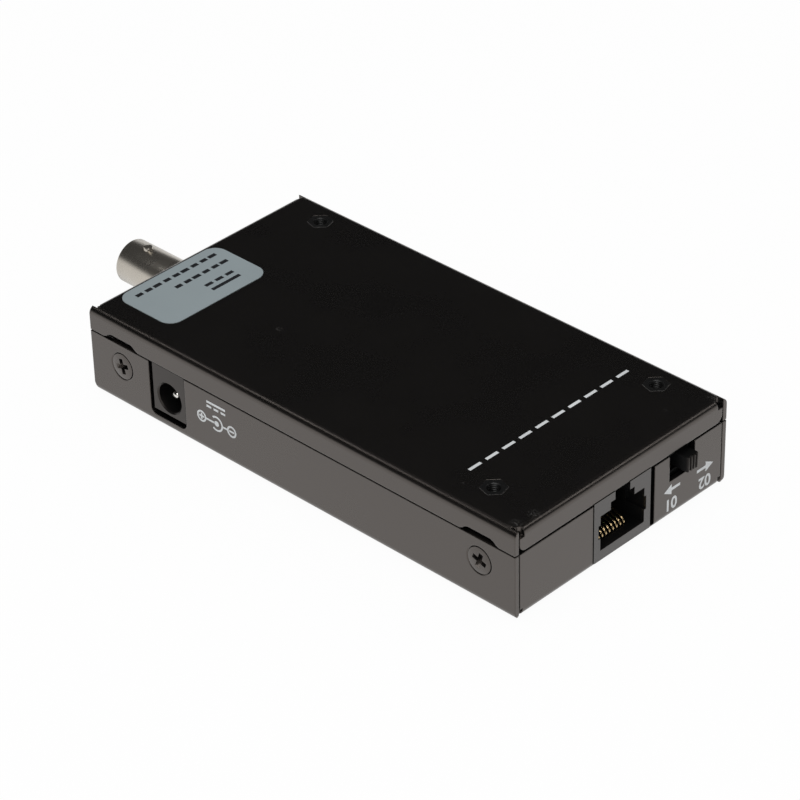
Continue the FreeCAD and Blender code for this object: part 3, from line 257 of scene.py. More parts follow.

# Shared effect: a patch around one point of the surface, ragged at its edge: rubbed paint, and at the tray's
# near corner partly a painted highlight
rubbed_and_highlight_patch, given, result = new_group(
    "rubbed_and_highlight_patch", {"Place": "Vector", "Reach": "Float"}, {"Mask": "Float"}
)
place = add_node(rubbed_and_highlight_patch, "ShaderNodeTexCoord").outputs["Object"]
away = add_node(
    rubbed_and_highlight_patch, "ShaderNodeVectorMath", {0: place, 1: given.outputs["Place"]}, operation="DISTANCE"
)
near = add_node(
    rubbed_and_highlight_patch, "ShaderNodeMapRange",
    {0: away.outputs["Value"], 1: given.outputs["Reach"], 2: 0.0, 3: 0.0, 4: 1.0},
)
flakes = add_node(
    rubbed_and_highlight_patch, "ShaderNodeTexNoise", {"Vector": place, "Scale": 2400.0, "Detail": 5.0, "Roughness": 0.7}
)
ragged = add_node(
    rubbed_and_highlight_patch, "ShaderNodeMapRange", {0: flakes.outputs[0], 1: 0.5, 2: 0.62, 3: 0.0, 4: 1.0}
)
mask = add_node(
    rubbed_and_highlight_patch, "ShaderNodeMath", {0: near.outputs[0], 1: ragged.outputs[0]}, operation="MULTIPLY"
)
link(rubbed_and_highlight_patch, mask.outputs[0], result, "Mask")


def finish(name, colour, roughness, grain, bump, drift=0.12, stretch=(1, 1, 1), edge=0.0, **sockets):
    """A material with the grained skin over one Principled shader, which keeps its own plain values.

    bump and edge are in millimetres: the depth of the grain, and the radius to which sharp edges look worn.
    """
    material = empty_material(name)
    tree = material.node_tree
    coat = add_node(
        tree, "ShaderNodeGroup",
        {"Colour": colour, "Roughness": roughness, "Grain": grain, "Stretch": stretch, "Drift": drift},
        node_tree=grained_skin,
    )
    relief = add_node(
        tree, "ShaderNodeBump",
        {"Height": coat.outputs["Height"], "Strength": 0.5, "Distance": bump * MM},
    )
    if edge:
        worn = add_node(tree, "ShaderNodeBevel", {"Radius": edge * MM}, samples=6)
        tree.links.new(worn.outputs[0], relief.inputs["Normal"])
    values = {label.replace("_", " "): value for label, value in sockets.items()}
    values["Base Color"] = coat.outputs["Colour"]
    values["Roughness"] = coat.outputs["Roughness"]
    values["Normal"] = relief.outputs[0]
    shader = add_node(tree, "ShaderNodeBsdfPrincipled", values)
    add_node(tree, "ShaderNodeOutputMaterial", {"Surface": shader.outputs[0]})
    return material, coat, shader


def case_paint(name, patches):
    """Black powder paint with grey patches at the places given in millimetres with their reach: rubbed bare
    steel, and at the tray's near corner partly a painted highlight.
    """
    material, coat, shader = finish(
        name, PAINT_COLOUR, PAINT_ROUGHNESS, PAINT_GRAIN, PAINT_PEEL, PAINT_DRIFT, edge=SHEET_EDGE,
        IOR=PAINT_GLOSS, Specular_Tint=WARM_SHEEN,
    )
    tree = material.node_tree
    colour = coat.outputs["Colour"]
    for x, y, z, reach in patches:
        worn = add_node(
            tree, "ShaderNodeGroup",
            {"Place": (x * MM, y * MM, z * MM), "Reach": reach * MM}, node_tree=rubbed_and_highlight_patch,
        )
        colour = add_node(
            tree, "ShaderNodeMix", {0: worn.outputs["Mask"], 6: colour, 7: WORN_AND_HIGHLIGHT_GREY}, data_type="RGBA"
        ).outputs[2]
    tree.links.new(colour, shader.inputs["Base Color"])
    return material


def dress(material, *names):
    """Gives carried-over nodes their material, in the slots that they came with."""
    for name in names:
        for slot in nodes[name].material_slots:
            slot.material = material


def corners(name):
    """Lowest and highest corner of a node, in millimetres."""
    low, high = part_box(name)
    return low / MM, high / MM


cover_high = corners("top_cover")[1]
dress(case_paint("cover_paint", [(cover_high.x, cover_high.y - 1.0, 1.2, 1.5)]), "top_cover")


# Base tray: the folded plate on top with four short flanges, from the same painted sheet.
# Its corners have lost a little paint where the box has been pushed about. The patch above the near corner's
# relief hole is partly a painted highlight where the bends meet.
WALL_X, WALL_Y, TOP = corners("base_tray")[1]
tray_wear_and_highlight_patches = [
    (WALL_X - 1.6, WALL_Y - 1.4, TOP - 0.4, 2.2),
    # Near corner, above the relief hole: worn paint and a painted highlight where the bends meet
    (WALL_X - 2.2, 2.6 - WALL_Y, TOP - 0.2, 1.5),
    (WALL_X - 1.8, 7.0 - WALL_Y, TOP - 0.2, 1.5),
    (1.0 - WALL_X, WALL_Y - 1.2, TOP - 0.3, 1.2),
    (-23.0, -10.3, TOP, 0.9),
    (51.1, 18.4, TOP, 0.5),
    (39.1, -24.4, TOP, 0.4),
]
dress(case_paint("tray_paint", tray_wear_and_highlight_patches), "base_tray")


# Printed marks: pale ink, screened on the walls and the plate. Arrows and numerals mark the switch's two
# places, a plug sign marks the power socket, and a plain dashed rule runs across the plate.
INK_THICK = 0.012
MERGE = 1e-5
MARK_MERGE = 1e-4
CAPITAL_SHARE = 0.72
NUMERAL_BOLD = 0.035
SHARP_ANGLE = math.radians(32)
INK_COLOUR = (0.62, 0.64, 0.65, 1.0)
ink, _, _ = finish("pale_ink", INK_COLOUR, 0.45, 1800.0, 0.004)


def make_piece(name, form, material, body="case", stands_for=()):
    """Turns a form drawn in millimetres into a piece that rides on a body of the model."""
    bmesh.ops.remove_doubles(form, verts=form.verts, dist=MERGE)
    bmesh.ops.recalc_face_normals(form, faces=form.faces)
    mesh = bpy.data.meshes.new(name)
    form.to_mesh(mesh)
    form.free()
    mesh.transform(Matrix.Scale(MM, 4))
    mesh.shade_smooth()
    mesh.set_sharp_from_angle(angle=SHARP_ANGLE)
    mesh.materials.append(material)
    piece = bpy.data.objects.new(name, mesh)
    bpy.context.scene.collection.objects.link(piece)
    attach(piece, body)
    if stands_for:
        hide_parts(*stands_for)
    return piece


def plane_at(origin, across, upward):
    """A flat drawing plane: its own x runs along across, its y along upward, and its z out of the wall."""
    across = Vector(across)
    upward = Vector(upward)
    turn = Matrix((across, upward, across.cross(upward))).transposed()
    return Matrix.Translation(origin) @ turn.to_4x4()


def bar(x, y, wide, high):
    return [[(x, y), (x + wide, y), (x + wide, y + high), (x, y + high)]]


def ring(x, y, inner, outer, start=0, stop=360, steps=40):
    """A ring or an arc as short flat faces between two radii, angles in degrees."""
    turns = [math.radians(start + (stop - start) * i / steps) for i in range(steps + 1)]
    edge = [[(x + r * math.cos(a), y + r * math.sin(a)) for a in turns] for r in (inner, outer)]
    return [[edge[0][i], edge[1][i], edge[1][i + 1], edge[0][i + 1]] for i in range(steps)]


def arrow(tip, tail, head, wide, shaft):
    """An arrow along x from its tail to its tip, about y = 0."""
    way = math.copysign(1.0, tip - tail)
    neck = tip - way * head
    outline = [(tip, 0.0), (neck, wide / 2), (neck, -wide / 2)]
    stem = [(neck, shaft / 2), (neck, -shaft / 2), (tail, -shaft / 2), (tail, shaft / 2)]
    return [outline, stem]


def printed(name, plane, shapes, material, thick=INK_THICK):
    """Flat shapes laid on a plane as one thin layer."""
    form = bmesh.new()
    for shape in shapes:
        form.faces.new([form.verts.new(plane @ Vector((x, y, 0.0))) for x, y in shape])
    bmesh.ops.remove_doubles(form, verts=form.verts, dist=MARK_MERGE)
    out = plane.to_3x3() @ Vector((0.0, 0.0, thick))
    raised = bmesh.ops.extrude_face_region(form, geom=list(form.faces))
    moved = [item for item in raised["geom"] if isinstance(item, bmesh.types.BMVert)]
    bmesh.ops.translate(form, verts=moved, vec=out)
    return make_piece(name, form, material)


def numeral(name, character, plane, high, material):
    """A plain printed numeral, its lower left corner on the plane's origin."""
    writing = bpy.data.curves.new(name, "FONT")
    writing.body = character
    writing.size = high / CAPITAL_SHARE
    writing.extrude = INK_THICK / 2
    writing.offset = high * NUMERAL_BOLD
    carrier = bpy.data.objects.new(name + "_outline", writing)
    mesh = bpy.data.meshes.new_from_object(carrier)
    form = bmesh.new()
    form.from_mesh(mesh)
    bpy.data.objects.remove(carrier)
    form.transform(plane @ Matrix.Translation((0.0, 0.0, INK_THICK / 2)))
    return make_piece(name, form, material)


# The box lies on its cover, so the marks on its walls stand upside down
end_wall = plane_at((WALL_X, 0.0, 0.0), (0, -1, 0), (0, 0, -1))
ARROW_UP = 6.45
NUMERAL_UP = 4.35
NUMERAL_HIGH = 2.6
HEAD_LONG = 2.2
HEAD_WIDE = 2.3
SHAFT_WIDE = 0.62
marks = arrow(-11.8, -16.5, HEAD_LONG, HEAD_WIDE, SHAFT_WIDE)
marks += arrow(-26.2, -21.4, HEAD_LONG, HEAD_WIDE, SHAFT_WIDE)
printed("switch_arrows", end_wall @ Matrix.Translation((0.0, -ARROW_UP, 0.0)), marks, ink)
for number, across in (("01", -15.7), ("02", -25.6)):
    spot = end_wall @ Matrix.Translation((across, -NUMERAL_UP, 0.0))
    numeral("switch_numeral_" + number, number, spot, NUMERAL_HIGH, ink)

side_wall = plane_at((0.0, -WALL_Y, 0.0), (-1, 0, 0), (0, 0, -1))
PLUG_SIGN = side_wall @ Matrix.Translation((21.1, -7.9, 0.0))
STROKE = 0.42
POLE_AWAY = 4.2
POLE_RING = 1.3
PLUG_RING = 1.75
PLUG_DOT = 0.62
PLUS_ARM = 0.5
DIRECT_WIDE = 5.2
DIRECT_THICK = 0.5
sign = ring(-POLE_AWAY, 0.0, POLE_RING - STROKE, POLE_RING)
sign += ring(POLE_AWAY, 0.0, POLE_RING - STROKE, POLE_RING)
sign += ring(0.0, 0.0, PLUG_RING - STROKE, PLUG_RING, 50, 310) + ring(0.0, 0.0, 0.0, PLUG_DOT)
sign += bar(-2.9, -STROKE / 2, 1.17, STROKE) + bar(0.5, -STROKE / 2, 2.4, STROKE)
sign += bar(-4.9, -STROKE / 2, 1.4, STROKE) + bar(3.5, -STROKE / 2, 1.4, STROKE)
sign += bar(POLE_AWAY - STROKE / 2, STROKE / 2, STROKE, PLUS_ARM)
sign += bar(POLE_AWAY - STROKE / 2, -STROKE / 2 - PLUS_ARM, STROKE, PLUS_ARM)
sign += bar(-DIRECT_WIDE / 2, -4.4, DIRECT_WIDE, DIRECT_THICK)
for step in range(3):
    sign += bar(-DIRECT_WIDE / 2 + 1.95 * step, -3.4, 1.3, DIRECT_THICK)
printed("plug_sign", PLUG_SIGN, sign, ink)

RULE_X = 37.1
RULE_ENDS = (-20.6, 24.0)
DASH = 3.2
DASH_GAP = 1.4
RULE_WIDE = 0.7
plate = plane_at((0.0, 0.0, TOP), (0, -1, 0), (1, 0, 0))
dashes = []
start = -RULE_ENDS[1]
while start < -RULE_ENDS[0] - DASH / 2:
    dashes += bar(start, RULE_X - RULE_WIDE / 2, min(DASH, -RULE_ENDS[0] - start), RULE_WIDE)
    start += DASH + DASH_GAP
printed("plate_rule", plate, dashes, ink)


# Label: a satin grey film with rounded corners, stuck near the coaxial end. Rows of dark dashes are printed
# on it, and the plain sign for direct current.
LABEL_COLOUR = (0.27, 0.315, 0.33, 1.0)
LABEL_INK = (0.012, 0.013, 0.016, 1.0)
LABEL_INK_THICK = 0.006
ROW_STEP = 2.5
ROW_HIGH = 1.0
SIGN_HIGH = 0.9
film, _, _ = finish("label_film", LABEL_COLOUR, 0.34, 900.0, 0.006, drift=0.04)
dark_ink, _, _ = finish("label_ink", LABEL_INK, 0.4, 1500.0, 0.003)
dress(film, "product_label")
label_low, label_high = corners("product_label")
label_face = plane_at((label_low.x, label_high.y, label_high.z), (0, -1, 0), (1, 0, 0))
lines = []
for row, start, count in ((2.2, 2.4, 9), (5.6, 2.4, 6)):
    for step in range(count):
        lines += bar(start + ROW_STEP * step, row, 1.7 if step % 3 else 2.0, ROW_HIGH)
lines += bar(4.6, 11.6, 7.6, SIGN_HIGH)
for step in range(3):
    lines += bar(4.6 + 2.8 * step, 9.6, 2.0, SIGN_HIGH)
printed("label_marks", label_face, lines, dark_ink, thick=LABEL_INK_THICK)


# Case screws: four blackened flat-head steel screws sunk level with the long walls, left at different
# angles by the driver. A tapered cross recess with a small well in its middle takes the driver.
SCREW_HEAD = 2.8
SCREW_SINK = 1.1
SCREW_CORE = 1.25
CROSS_SPAN = 3.6
CROSS_WIDE = 1.05
CROSS_DEEP = 1.3
CROSS_DRAFT = 0.85
WELL = [(0.2, 0.0), (0.2, 0.62), (-0.9, 0.42), (-1.4, 0.0)]
SCREW_TURNS = {1: 15, 2: 72, 3: 15, 4: 72}
screw_finish, _, _ = finish(
    "blackened_steel", (0.005, 0.005, 0.0052, 1.0), 0.3, 1500.0, 0.01, IOR=PAINT_GLOSS,
    Specular_Tint=WARM_SHEEN,
)


def turned_form(form, profile, steps=64, place=(0.0, 0.0, 0.0), axis="z"):
    """A turned shape: pairs of a length along the axis and a radius, which may depend on the angle."""
    order = {"x": (2, 0, 1), "y": (1, 2, 0), "z": (0, 1, 2)}[axis]
    rings = []
    for along, radius in profile:
        loop = []
        for i in range(steps):
            angle = 2 * math.pi * i / steps
            r = radius(angle) if callable(radius) else radius
            spot = (r * math.cos(angle), r * math.sin(angle), along)
            loop.append(form.verts.new(Vector([spot[k] for k in order]) + Vector(place)))
        rings.append(loop)
    for lower, upper in zip(rings, rings[1:]):
        for i in range(steps):
            following = (i + 1) % steps
            form.faces.new([lower[i], lower[following], upper[following], upper[i]])
    bmesh.ops.remove_doubles(form, verts=form.verts, dist=MERGE)


def tapered_cross(form, span, wide, deep, draft):
    """A cross-shaped plug that narrows as it goes down from z = 0, with its top just above."""
    for turn in (0.0, math.pi / 2):
        spin = Matrix.Rotation(turn, 4, "Z")
        loops = []
        for z, half, arm in ((0.2, span / 2, wide / 2), (-deep, span / 2 - draft, wide / 2 - draft * 0.16)):
            pairs = ((-half, -arm), (half, -arm), (half, arm), (-half, arm))
            loops.append([form.verts.new(spin @ Vector((x, y, z))) for x, y in pairs])
        form.faces.new(loops[0])
        form.faces.new(loops[1][::-1])
        for i in range(4):
            j = (i + 1) % 4
            form.faces.new([loops[0][i], loops[1][i], loops[1][j], loops[0][j]])


def as_mesh_object(name, form):
    """A loose helper object made from a form, for cutting one form with another."""
    bmesh.ops.recalc_face_normals(form, faces=form.faces)
    mesh = bpy.data.meshes.new(name)
    form.to_mesh(mesh)
    form.free()
    made = bpy.data.objects.new(name, mesh)
    bpy.context.scene.collection.objects.link(made)
    return made


def cut_away(form, tools):
    """The form with the shapes of the tools taken out of it."""
    base = as_mesh_object("cut_base", form)
    cutters = [as_mesh_object("cutter", tool) for tool in tools]
    for cutter in cutters:
        step = base.modifiers.new("cut", "BOOLEAN")
        step.operation = "DIFFERENCE"
        step.solver = "EXACT"
        step.use_self = True
        step.object = cutter
    bpy.context.view_layer.update()
    mesh = bpy.data.meshes.new_from_object(base.evaluated_get(bpy.context.evaluated_depsgraph_get()))
    left = bmesh.new()
    left.from_mesh(mesh)
    for item in [base] + cutters:
        bpy.data.objects.remove(item)
    bpy.data.meshes.remove(mesh)
    return left


for number, angle in SCREW_TURNS.items():
    name = "case_screw_%d" % number
    low, high = corners(name)
    side = -1 if number < 3 else 1
    tip = -high.y + low.y
    head = bmesh.new()
    turned_form(head, [
        (tip, 0.0),
        (tip, SCREW_CORE * 0.8),
        (tip + 0.4, SCREW_CORE),
        (-SCREW_SINK, SCREW_CORE),
        (-0.12, SCREW_HEAD - 0.05),
        (-0.05, SCREW_HEAD),
        (0.0, SCREW_HEAD - 0.12),
        (0.0, 0.0),
    ], steps=72)
    driver = bmesh.new()
    tapered_cross(driver, CROSS_SPAN, CROSS_WIDE, CROSS_DEEP, CROSS_DRAFT)
    well = bmesh.new()
    turned_form(well, WELL, steps=24)
    cut = cut_away(head, [driver, well])
    facing = Matrix.Rotation(math.radians(-90 * side), 4, "X")
    middle = Vector(((low.x + high.x) / 2, side * WALL_Y, (low.z + high.z) / 2))
    cut.transform(Matrix.Translation(middle) @ facing @ Matrix.Rotation(math.radians(angle), 4, "Z"))
    make_piece(name + "_turned", cut, screw_finish, stands_for=(name,))


# Clinch standoffs: steel hexagons pressed level with the base plate and painted with it, tapped right
# through. The thread shows in each open hole. The board's pan-head screws come up from the other side.
STANDOFF_ACROSS = 4.6
STANDOFF_CORNER = 2.65
THREAD_OUTER = 1.48
THREAD_DEPTH = 0.22
THREAD_PITCH = 0.5
THREAD_STEPS = 8
THREAD_START = 0.2
HEXAGON_TURN = math.radians(45)
standoff_finish, _, _ = finish(
    "painted_standoff", (0.005, 0.005, 0.005, 1.0), 0.4, 1700.0, 0.003, IOR=1.42
)


def hexagon_reach(across, turn, limit):
    """Radius of a hexagon at each angle, its corners turned off at the limit."""
    def reach(angle):
        from_flat = (angle - turn) % (math.pi / 3) - math.pi / 6
        return min(across / 2 / math.cos(from_flat), limit)
    return reach


def thread_reach(height):
    """Radius of the tapped hole at a height, one ridge for each turn."""
    def reach(angle):
        phase = (height / THREAD_PITCH - angle / (2 * math.pi)) % 1.0
        return THREAD_OUTER - THREAD_DEPTH * (1 - abs(2 * phase - 1))
    return reach


for number in range(1, 5):
    name = "standoff_%d" % number
    low, high = corners(name)
    middle = (low + high) / 2
    edge = hexagon_reach(STANDOFF_ACROSS, HEXAGON_TURN, STANDOFF_CORNER)
    profile = [(low.z, thread_reach(low.z)), (low.z, edge), (high.z, edge)]
    profile += [(high.z, THREAD_OUTER + 0.05), (high.z - 0.1, THREAD_OUTER)]
    height = high.z - THREAD_START
    while height > low.z:
        profile.append((height, thread_reach(height)))
        height -= THREAD_PITCH / THREAD_STEPS
    profile.append((low.z, thread_reach(low.z)))
    form = bmesh.new()
    turned_form(form, profile, steps=72, place=(middle.x, middle.y, 0.0))
    make_piece(name + "_tapped", form, standoff_finish, stands_for=(name,))
dress(screw_finish, "board_screw_1", "board_screw_2", "board_screw_3", "board_screw_4")


# Circuit board: green laminate, its parts soldered on the face toward the cover. They are a network chip, a
# line chip, a regulator, a coil, a crystal, two capacitors and an isolating module.
board_skin, _, _ = finish("board_laminate", (0.012, 0.1, 0.035, 1.0), 0.3, 260.0, 0.03, drift=0.35)
dress(board_skin, "circuit_board")
chip_skin, _, _ = finish("chip_resin", (0.018, 0.018, 0.019, 1.0), 0.55, 2600.0, 0.01)
dress(chip_skin, "network_chip", "line_chip", "regulator_chip", "isolation_module", "lamp_holder")
ferrite, _, _ = finish("ferrite", (0.05, 0.05, 0.052, 1.0), 0.6, 1400.0, 0.02)
dress(ferrite, "power_coil")
can_metal, _, _ = finish("can_metal", (0.72, 0.72, 0.71, 1.0), 0.25, 800.0, 0.004, Metallic=1.0)
dress(can_metal, "crystal", "capacitor_1", "capacitor_2")


# Network socket: a black moulded housing with a stepped opening, level with the end wall. Its face has a
# glossy coat that fades out inside the opening, a painted shade that keeps the opening dark.
SOCKET_BLACK = (0.004, 0.004, 0.0042, 1.0)
# Depth behind the socket's face at which its coat is gone, where the painted shade is darkest
JACK_SHADE_DEPTH = 0.9
JACK_GLOSS = 1.64
painted_depth_shade, given, result = new_group(
    "painted_depth_shade", {"Face": "Float", "Depth": "Float"}, {"Mask": "Float"}
)
place = add_node(painted_depth_shade, "ShaderNodeTexCoord").outputs["Object"]
along_case = add_node(painted_depth_shade, "ShaderNodeSeparateXYZ", {0: place})
behind_face = add_node(
    painted_depth_shade, "ShaderNodeMath", {0: given.outputs["Face"], 1: along_case.outputs["X"]},
    operation="SUBTRACT",
)
# Coat weight falls from 1 at the face to 0 at the given depth behind it: painted shade in the hollows
coat_left = add_node(
    painted_depth_shade, "ShaderNodeMapRange",
    {0: behind_face.outputs[0], 1: 0.0, 2: given.outputs["Depth"], 3: 1.0, 4: 0.0},
)
link(painted_depth_shade, coat_left.outputs[0], result, "Mask")


def moulded_finish_shaded_inside(name, face, depth, gloss):
    """Dull black plastic with a glossy coat at its face, at x = face in millimetres, fading out by depth
    behind it: painted shade in the hollows.
    """
    material, coat, shader = finish(
        name, SOCKET_BLACK, 0.5, 1500.0, 0.004, IOR=1.28, Coat_IOR=gloss, Coat_Roughness=0.3,
        Coat_Tint=WARM_SHEEN,
    )
    shade_mask_node = add_node(
        material.node_tree, "ShaderNodeGroup", {"Face": face * MM, "Depth": depth * MM},
        node_tree=painted_depth_shade,
    )
    material.node_tree.links.new(shade_mask_node.outputs["Mask"], shader.inputs["Coat Weight"])
    return material


jack_face = corners("network_jack")[1].x
dress(moulded_finish_shaded_inside("jack_plastic", jack_face, JACK_SHADE_DEPTH, JACK_GLOSS), "network_jack")


# Network contacts: eight strips of gold-plated spring bronze. Each lies in a groove of the housing, turns
# back in a round nose behind the opening and slopes up inside, where the plug presses it down.
CONTACT_WIDE = 0.42
CONTACT_THICK = 0.3
CONTACT_ROUNDING = 0.11
NOSE_RADIUS = 0.45
CROWN_RADIUS = 2.0
NOSE_TURN = 110
CROWN_TURN = 163.5
TIP_X = 46.575
TAIL_RADIUS = 0.5
TAIL_STEPS = 5
NOSE_STEPS = 14
CROWN_STEPS = 12
gold, _, _ = finish("contact_gold", (0.88, 0.66, 0.36, 1.0), 0.2, 1200.0, 0.001, Metallic=1.0)


def bent_strip(form, line, wide, thick, rounding, y):
    """A strip of rounded section that follows a line of points (x, z)."""
    section = []
    for sx, sy in ((1, 1), (-1, 1), (-1, -1), (1, -1)):
        first = math.atan2(sy, sx) - math.pi / 4
        for i in range(4):
            angle = first + i * math.pi / 6
            section.append((
                sx * (wide / 2 - rounding) + rounding * math.cos(angle),
                sy * (thick / 2 - rounding) + rounding * math.sin(angle),
            ))
    loops = []
    for i, (x, z) in enumerate(line):
        before = line[max(i - 1, 0)]
        after = line[min(i + 1, len(line) - 1)]
        way = Vector((after[0] - before[0], after[1] - before[1])).normalized()
        loops.append([
            form.verts.new((x - way.y * v, y + u, z + way.x * v)) for u, v in section
        ])
    for lower, upper in zip(loops, loops[1:]):
        for i in range(len(section)):
            j = (i + 1) % len(section)
            form.faces.new([lower[i], lower[j], upper[j], upper[i]])
    form.faces.new(loops[0][::-1])
    form.faces.new(loops[-1])


for number in range(1, 9):
    name = "network_contact_%d" % number
    low, high = corners(name)
    half = CONTACT_THICK / 2
    lie = low.z + half
    line = [(low.x + half, high.z), (low.x + half, lie + TAIL_RADIUS)]
    for i in range(1, TAIL_STEPS + 1):
        angle = math.radians(180 + 90 / TAIL_STEPS * i)
        line.append((
            low.x + half + TAIL_RADIUS + TAIL_RADIUS * math.cos(angle),
            lie + TAIL_RADIUS + TAIL_RADIUS * math.sin(angle),
        ))
    centre = (high.x - half - NOSE_RADIUS, lie + NOSE_RADIUS)
    for i in range(NOSE_STEPS + 1):
        angle = math.radians(NOSE_TURN * i / NOSE_STEPS)
        line.append((centre[0] + NOSE_RADIUS * math.sin(angle), centre[1] - NOSE_RADIUS * math.cos(angle)))
    start = math.radians(NOSE_TURN)
    crown = (
        line[-1][0] - CROWN_RADIUS * math.sin(start), line[-1][1] + CROWN_RADIUS * math.cos(start)
    )
    for i in range(1, CROWN_STEPS + 1):
        angle = start + math.radians(CROWN_TURN - NOSE_TURN) * i / CROWN_STEPS
        line.append((crown[0] + CROWN_RADIUS * math.sin(angle), crown[1] - CROWN_RADIUS * math.cos(angle)))
    slope = math.tan(math.radians(180 - CROWN_TURN))
    line.append((TIP_X, line[-1][1] + (line[-1][0] - TIP_X) * slope))
    form = bmesh.new()
    bent_strip(form, line, CONTACT_WIDE, CONTACT_THICK, CONTACT_ROUNDING, (low.y + high.y) / 2)
    make_piece(name + "_sprung", form, gold, stands_for=(name,))


# Power socket: a black moulded jack whose square face is level with the long wall, with a round bore.
# A nickel-plated pin with a round split tip stands in the bore, and a sprung leaf lies under it.
socket_skin, _, _ = finish(
    "socket_plastic", SOCKET_BLACK, 0.36, 1500.0, 0.006, IOR=1.55, Specular_Tint=WARM_SHEEN
)
dress(socket_skin, "power_jack")
pin_metal, _, _ = finish("pin_nickel", (0.78, 0.76, 0.72, 1.0), 0.16, 900.0, 0.002, Metallic=1.0)
dress(pin_metal, "power_spring")
low, high = corners("power_pin")
PIN_RADIUS = (high.x - low.x) / 2
PIN_Z = low.z + PIN_RADIUS
PIN_X = (low.x + high.x) / 2
DOME_STEPS = 7
SPLIT_WIDE = 0.28
SPLIT_LONG = 2.6
SPLIT_TURN = math.radians(35)
TAB_HALF = 0.6
TAB_BACK = (0.8, 0.2)
profile = [(high.y, 0.0), (high.y, PIN_RADIUS - 0.1), (high.y - 0.1, PIN_RADIUS)]
for i in range(DOME_STEPS + 1):
    angle = math.pi / 2 * i / DOME_STEPS
    profile.append((
        low.y + PIN_RADIUS * (1 - math.sin(angle)), PIN_RADIUS * math.cos(angle)
    ))
pin = bmesh.new()
turned_form(pin, profile, steps=40, place=(PIN_X, 0.0, PIN_Z), axis="y")


def block(form, low, high):
    """A six-sided block between two corners."""
    spots = [(x, y, z) for z in (low[2], high[2]) for y in (low[1], high[1]) for x in (low[0], high[0])]
    verts = [form.verts.new(spot) for spot in spots]
    for face in ((0, 2, 3, 1), (4, 5, 7, 6), (0, 1, 5, 4), (2, 6, 7, 3), (0, 4, 6, 2), (1, 3, 7, 5)):
        form.faces.new([verts[i] for i in face])


split = bmesh.new()
block(
    split, (PIN_X - 2, low.y - 1, PIN_Z - SPLIT_WIDE / 2),
    (PIN_X + 2, low.y + SPLIT_LONG, PIN_Z + SPLIT_WIDE / 2),
)
split.transform(
    Matrix.Translation((PIN_X, 0, PIN_Z)) @ Matrix.Rotation(SPLIT_TURN, 4, "Y")
    @ Matrix.Translation((-PIN_X, 0, -PIN_Z))
)
pin = cut_away(pin, [split])
# The solder tab goes up to the board
block(
    pin, (PIN_X - TAB_HALF, high.y - TAB_BACK[0], PIN_Z), (PIN_X + TAB_HALF, high.y - TAB_BACK[1], high.z)
)
make_piece("power_pin_turned", pin, pin_metal, stands_for=("power_pin",))


# Slide switch: a folded frame behind the slot, a moulded base, and a black nylon knob on a carriage. Ribs
# across the knob's face give the finger its grip.
KNOB_RIBS = 4
RIB_DEEP = 0.42
KNOB_CHAMFER = 0.14
# Depth behind the knob's face at which its coat is gone: painted shade on its sides in the slot
KNOB_SHADE_DEPTH = 0.6
KNOB_GLOSS = 1.22
KNOB_Y = (16.795, 20.095)
KNOB_Z = (9.255, 12.605)
CARRIAGE_FRONT = 53.6
low, high = corners("switch_slider")
knob_skin = moulded_finish_shaded_inside("knob_plastic", high.x, KNOB_SHADE_DEPTH, KNOB_GLOSS)
# The frame is drawn near-black, a painted shade for the frame lying in shadow behind the slot
shaded_frame_metal, _, _ = finish("frame_steel", (0.05, 0.05, 0.05, 1.0), 0.45, 900.0, 0.006, Metallic=1.0)
dress(shaded_frame_metal, "switch_frame")
# The switch base lies deeper than that, so it has no coat: painted shade behind the slot
dress(knob_skin, "switch_base")


def ribbed_block(form, outline, low, high, chamfer):
    """An outline in x and y drawn up along z, its two ends drawn in a little as a moulding has them."""
    middle = Vector((sum(x for x, y in outline), sum(y for x, y in outline))) / len(outline)
    loops = []
    for z, inset in ((low, chamfer), (low + chamfer, 0.0), (high - chamfer, 0.0), (high, chamfer)):
        loop = []
        for x, y in outline:
            away = Vector((x, y)) - middle
            pulled = middle + away * (1 - inset / max(away.length, 0.5))
            loop.append(form.verts.new((pulled.x, pulled.y, z)))
        loops.append(loop)
    for lower, upper in zip(loops, loops[1:]):
        for i in range(len(outline)):
            j = (i + 1) % len(outline)
            form.faces.new([lower[i], lower[j], upper[j], upper[i]])
    form.faces.new(loops[0][::-1])
    form.faces.new(loops[-1])


face = high.x
outline = [(CARRIAGE_FRONT, KNOB_Y[0]), (CARRIAGE_FRONT, KNOB_Y[1])]
rib_pitch = (KNOB_Y[1] - KNOB_Y[0]) / KNOB_RIBS
for rib in range(KNOB_RIBS - 1, -1, -1):
    near_edge = KNOB_Y[0] + rib * rib_pitch
    far_edge = near_edge + rib_pitch
    outline += [
        (face - RIB_DEEP, far_edge - 0.04),
        (face - 0.06, far_edge - 0.2),
        (face, far_edge - 0.3),
        (face, near_edge + 0.3),
        (face - 0.06, near_edge + 0.2),
        (face - RIB_DEEP, near_edge + 0.04),
    ]
knob = bmesh.new()
ribbed_block(knob, outline, KNOB_Z[0], KNOB_Z[1], KNOB_CHAMFER)
carriage = [(low.x, low.y), (low.x, high.y), (CARRIAGE_FRONT, high.y), (CARRIAGE_FRONT, low.y)]
ribbed_block(knob, carriage, low.z, high.z, KNOB_CHAMFER)
make_piece(
    "switch_knob_moulded", knob, knob_skin, body="switch_knob", stands_for=("switch_slider",)
)


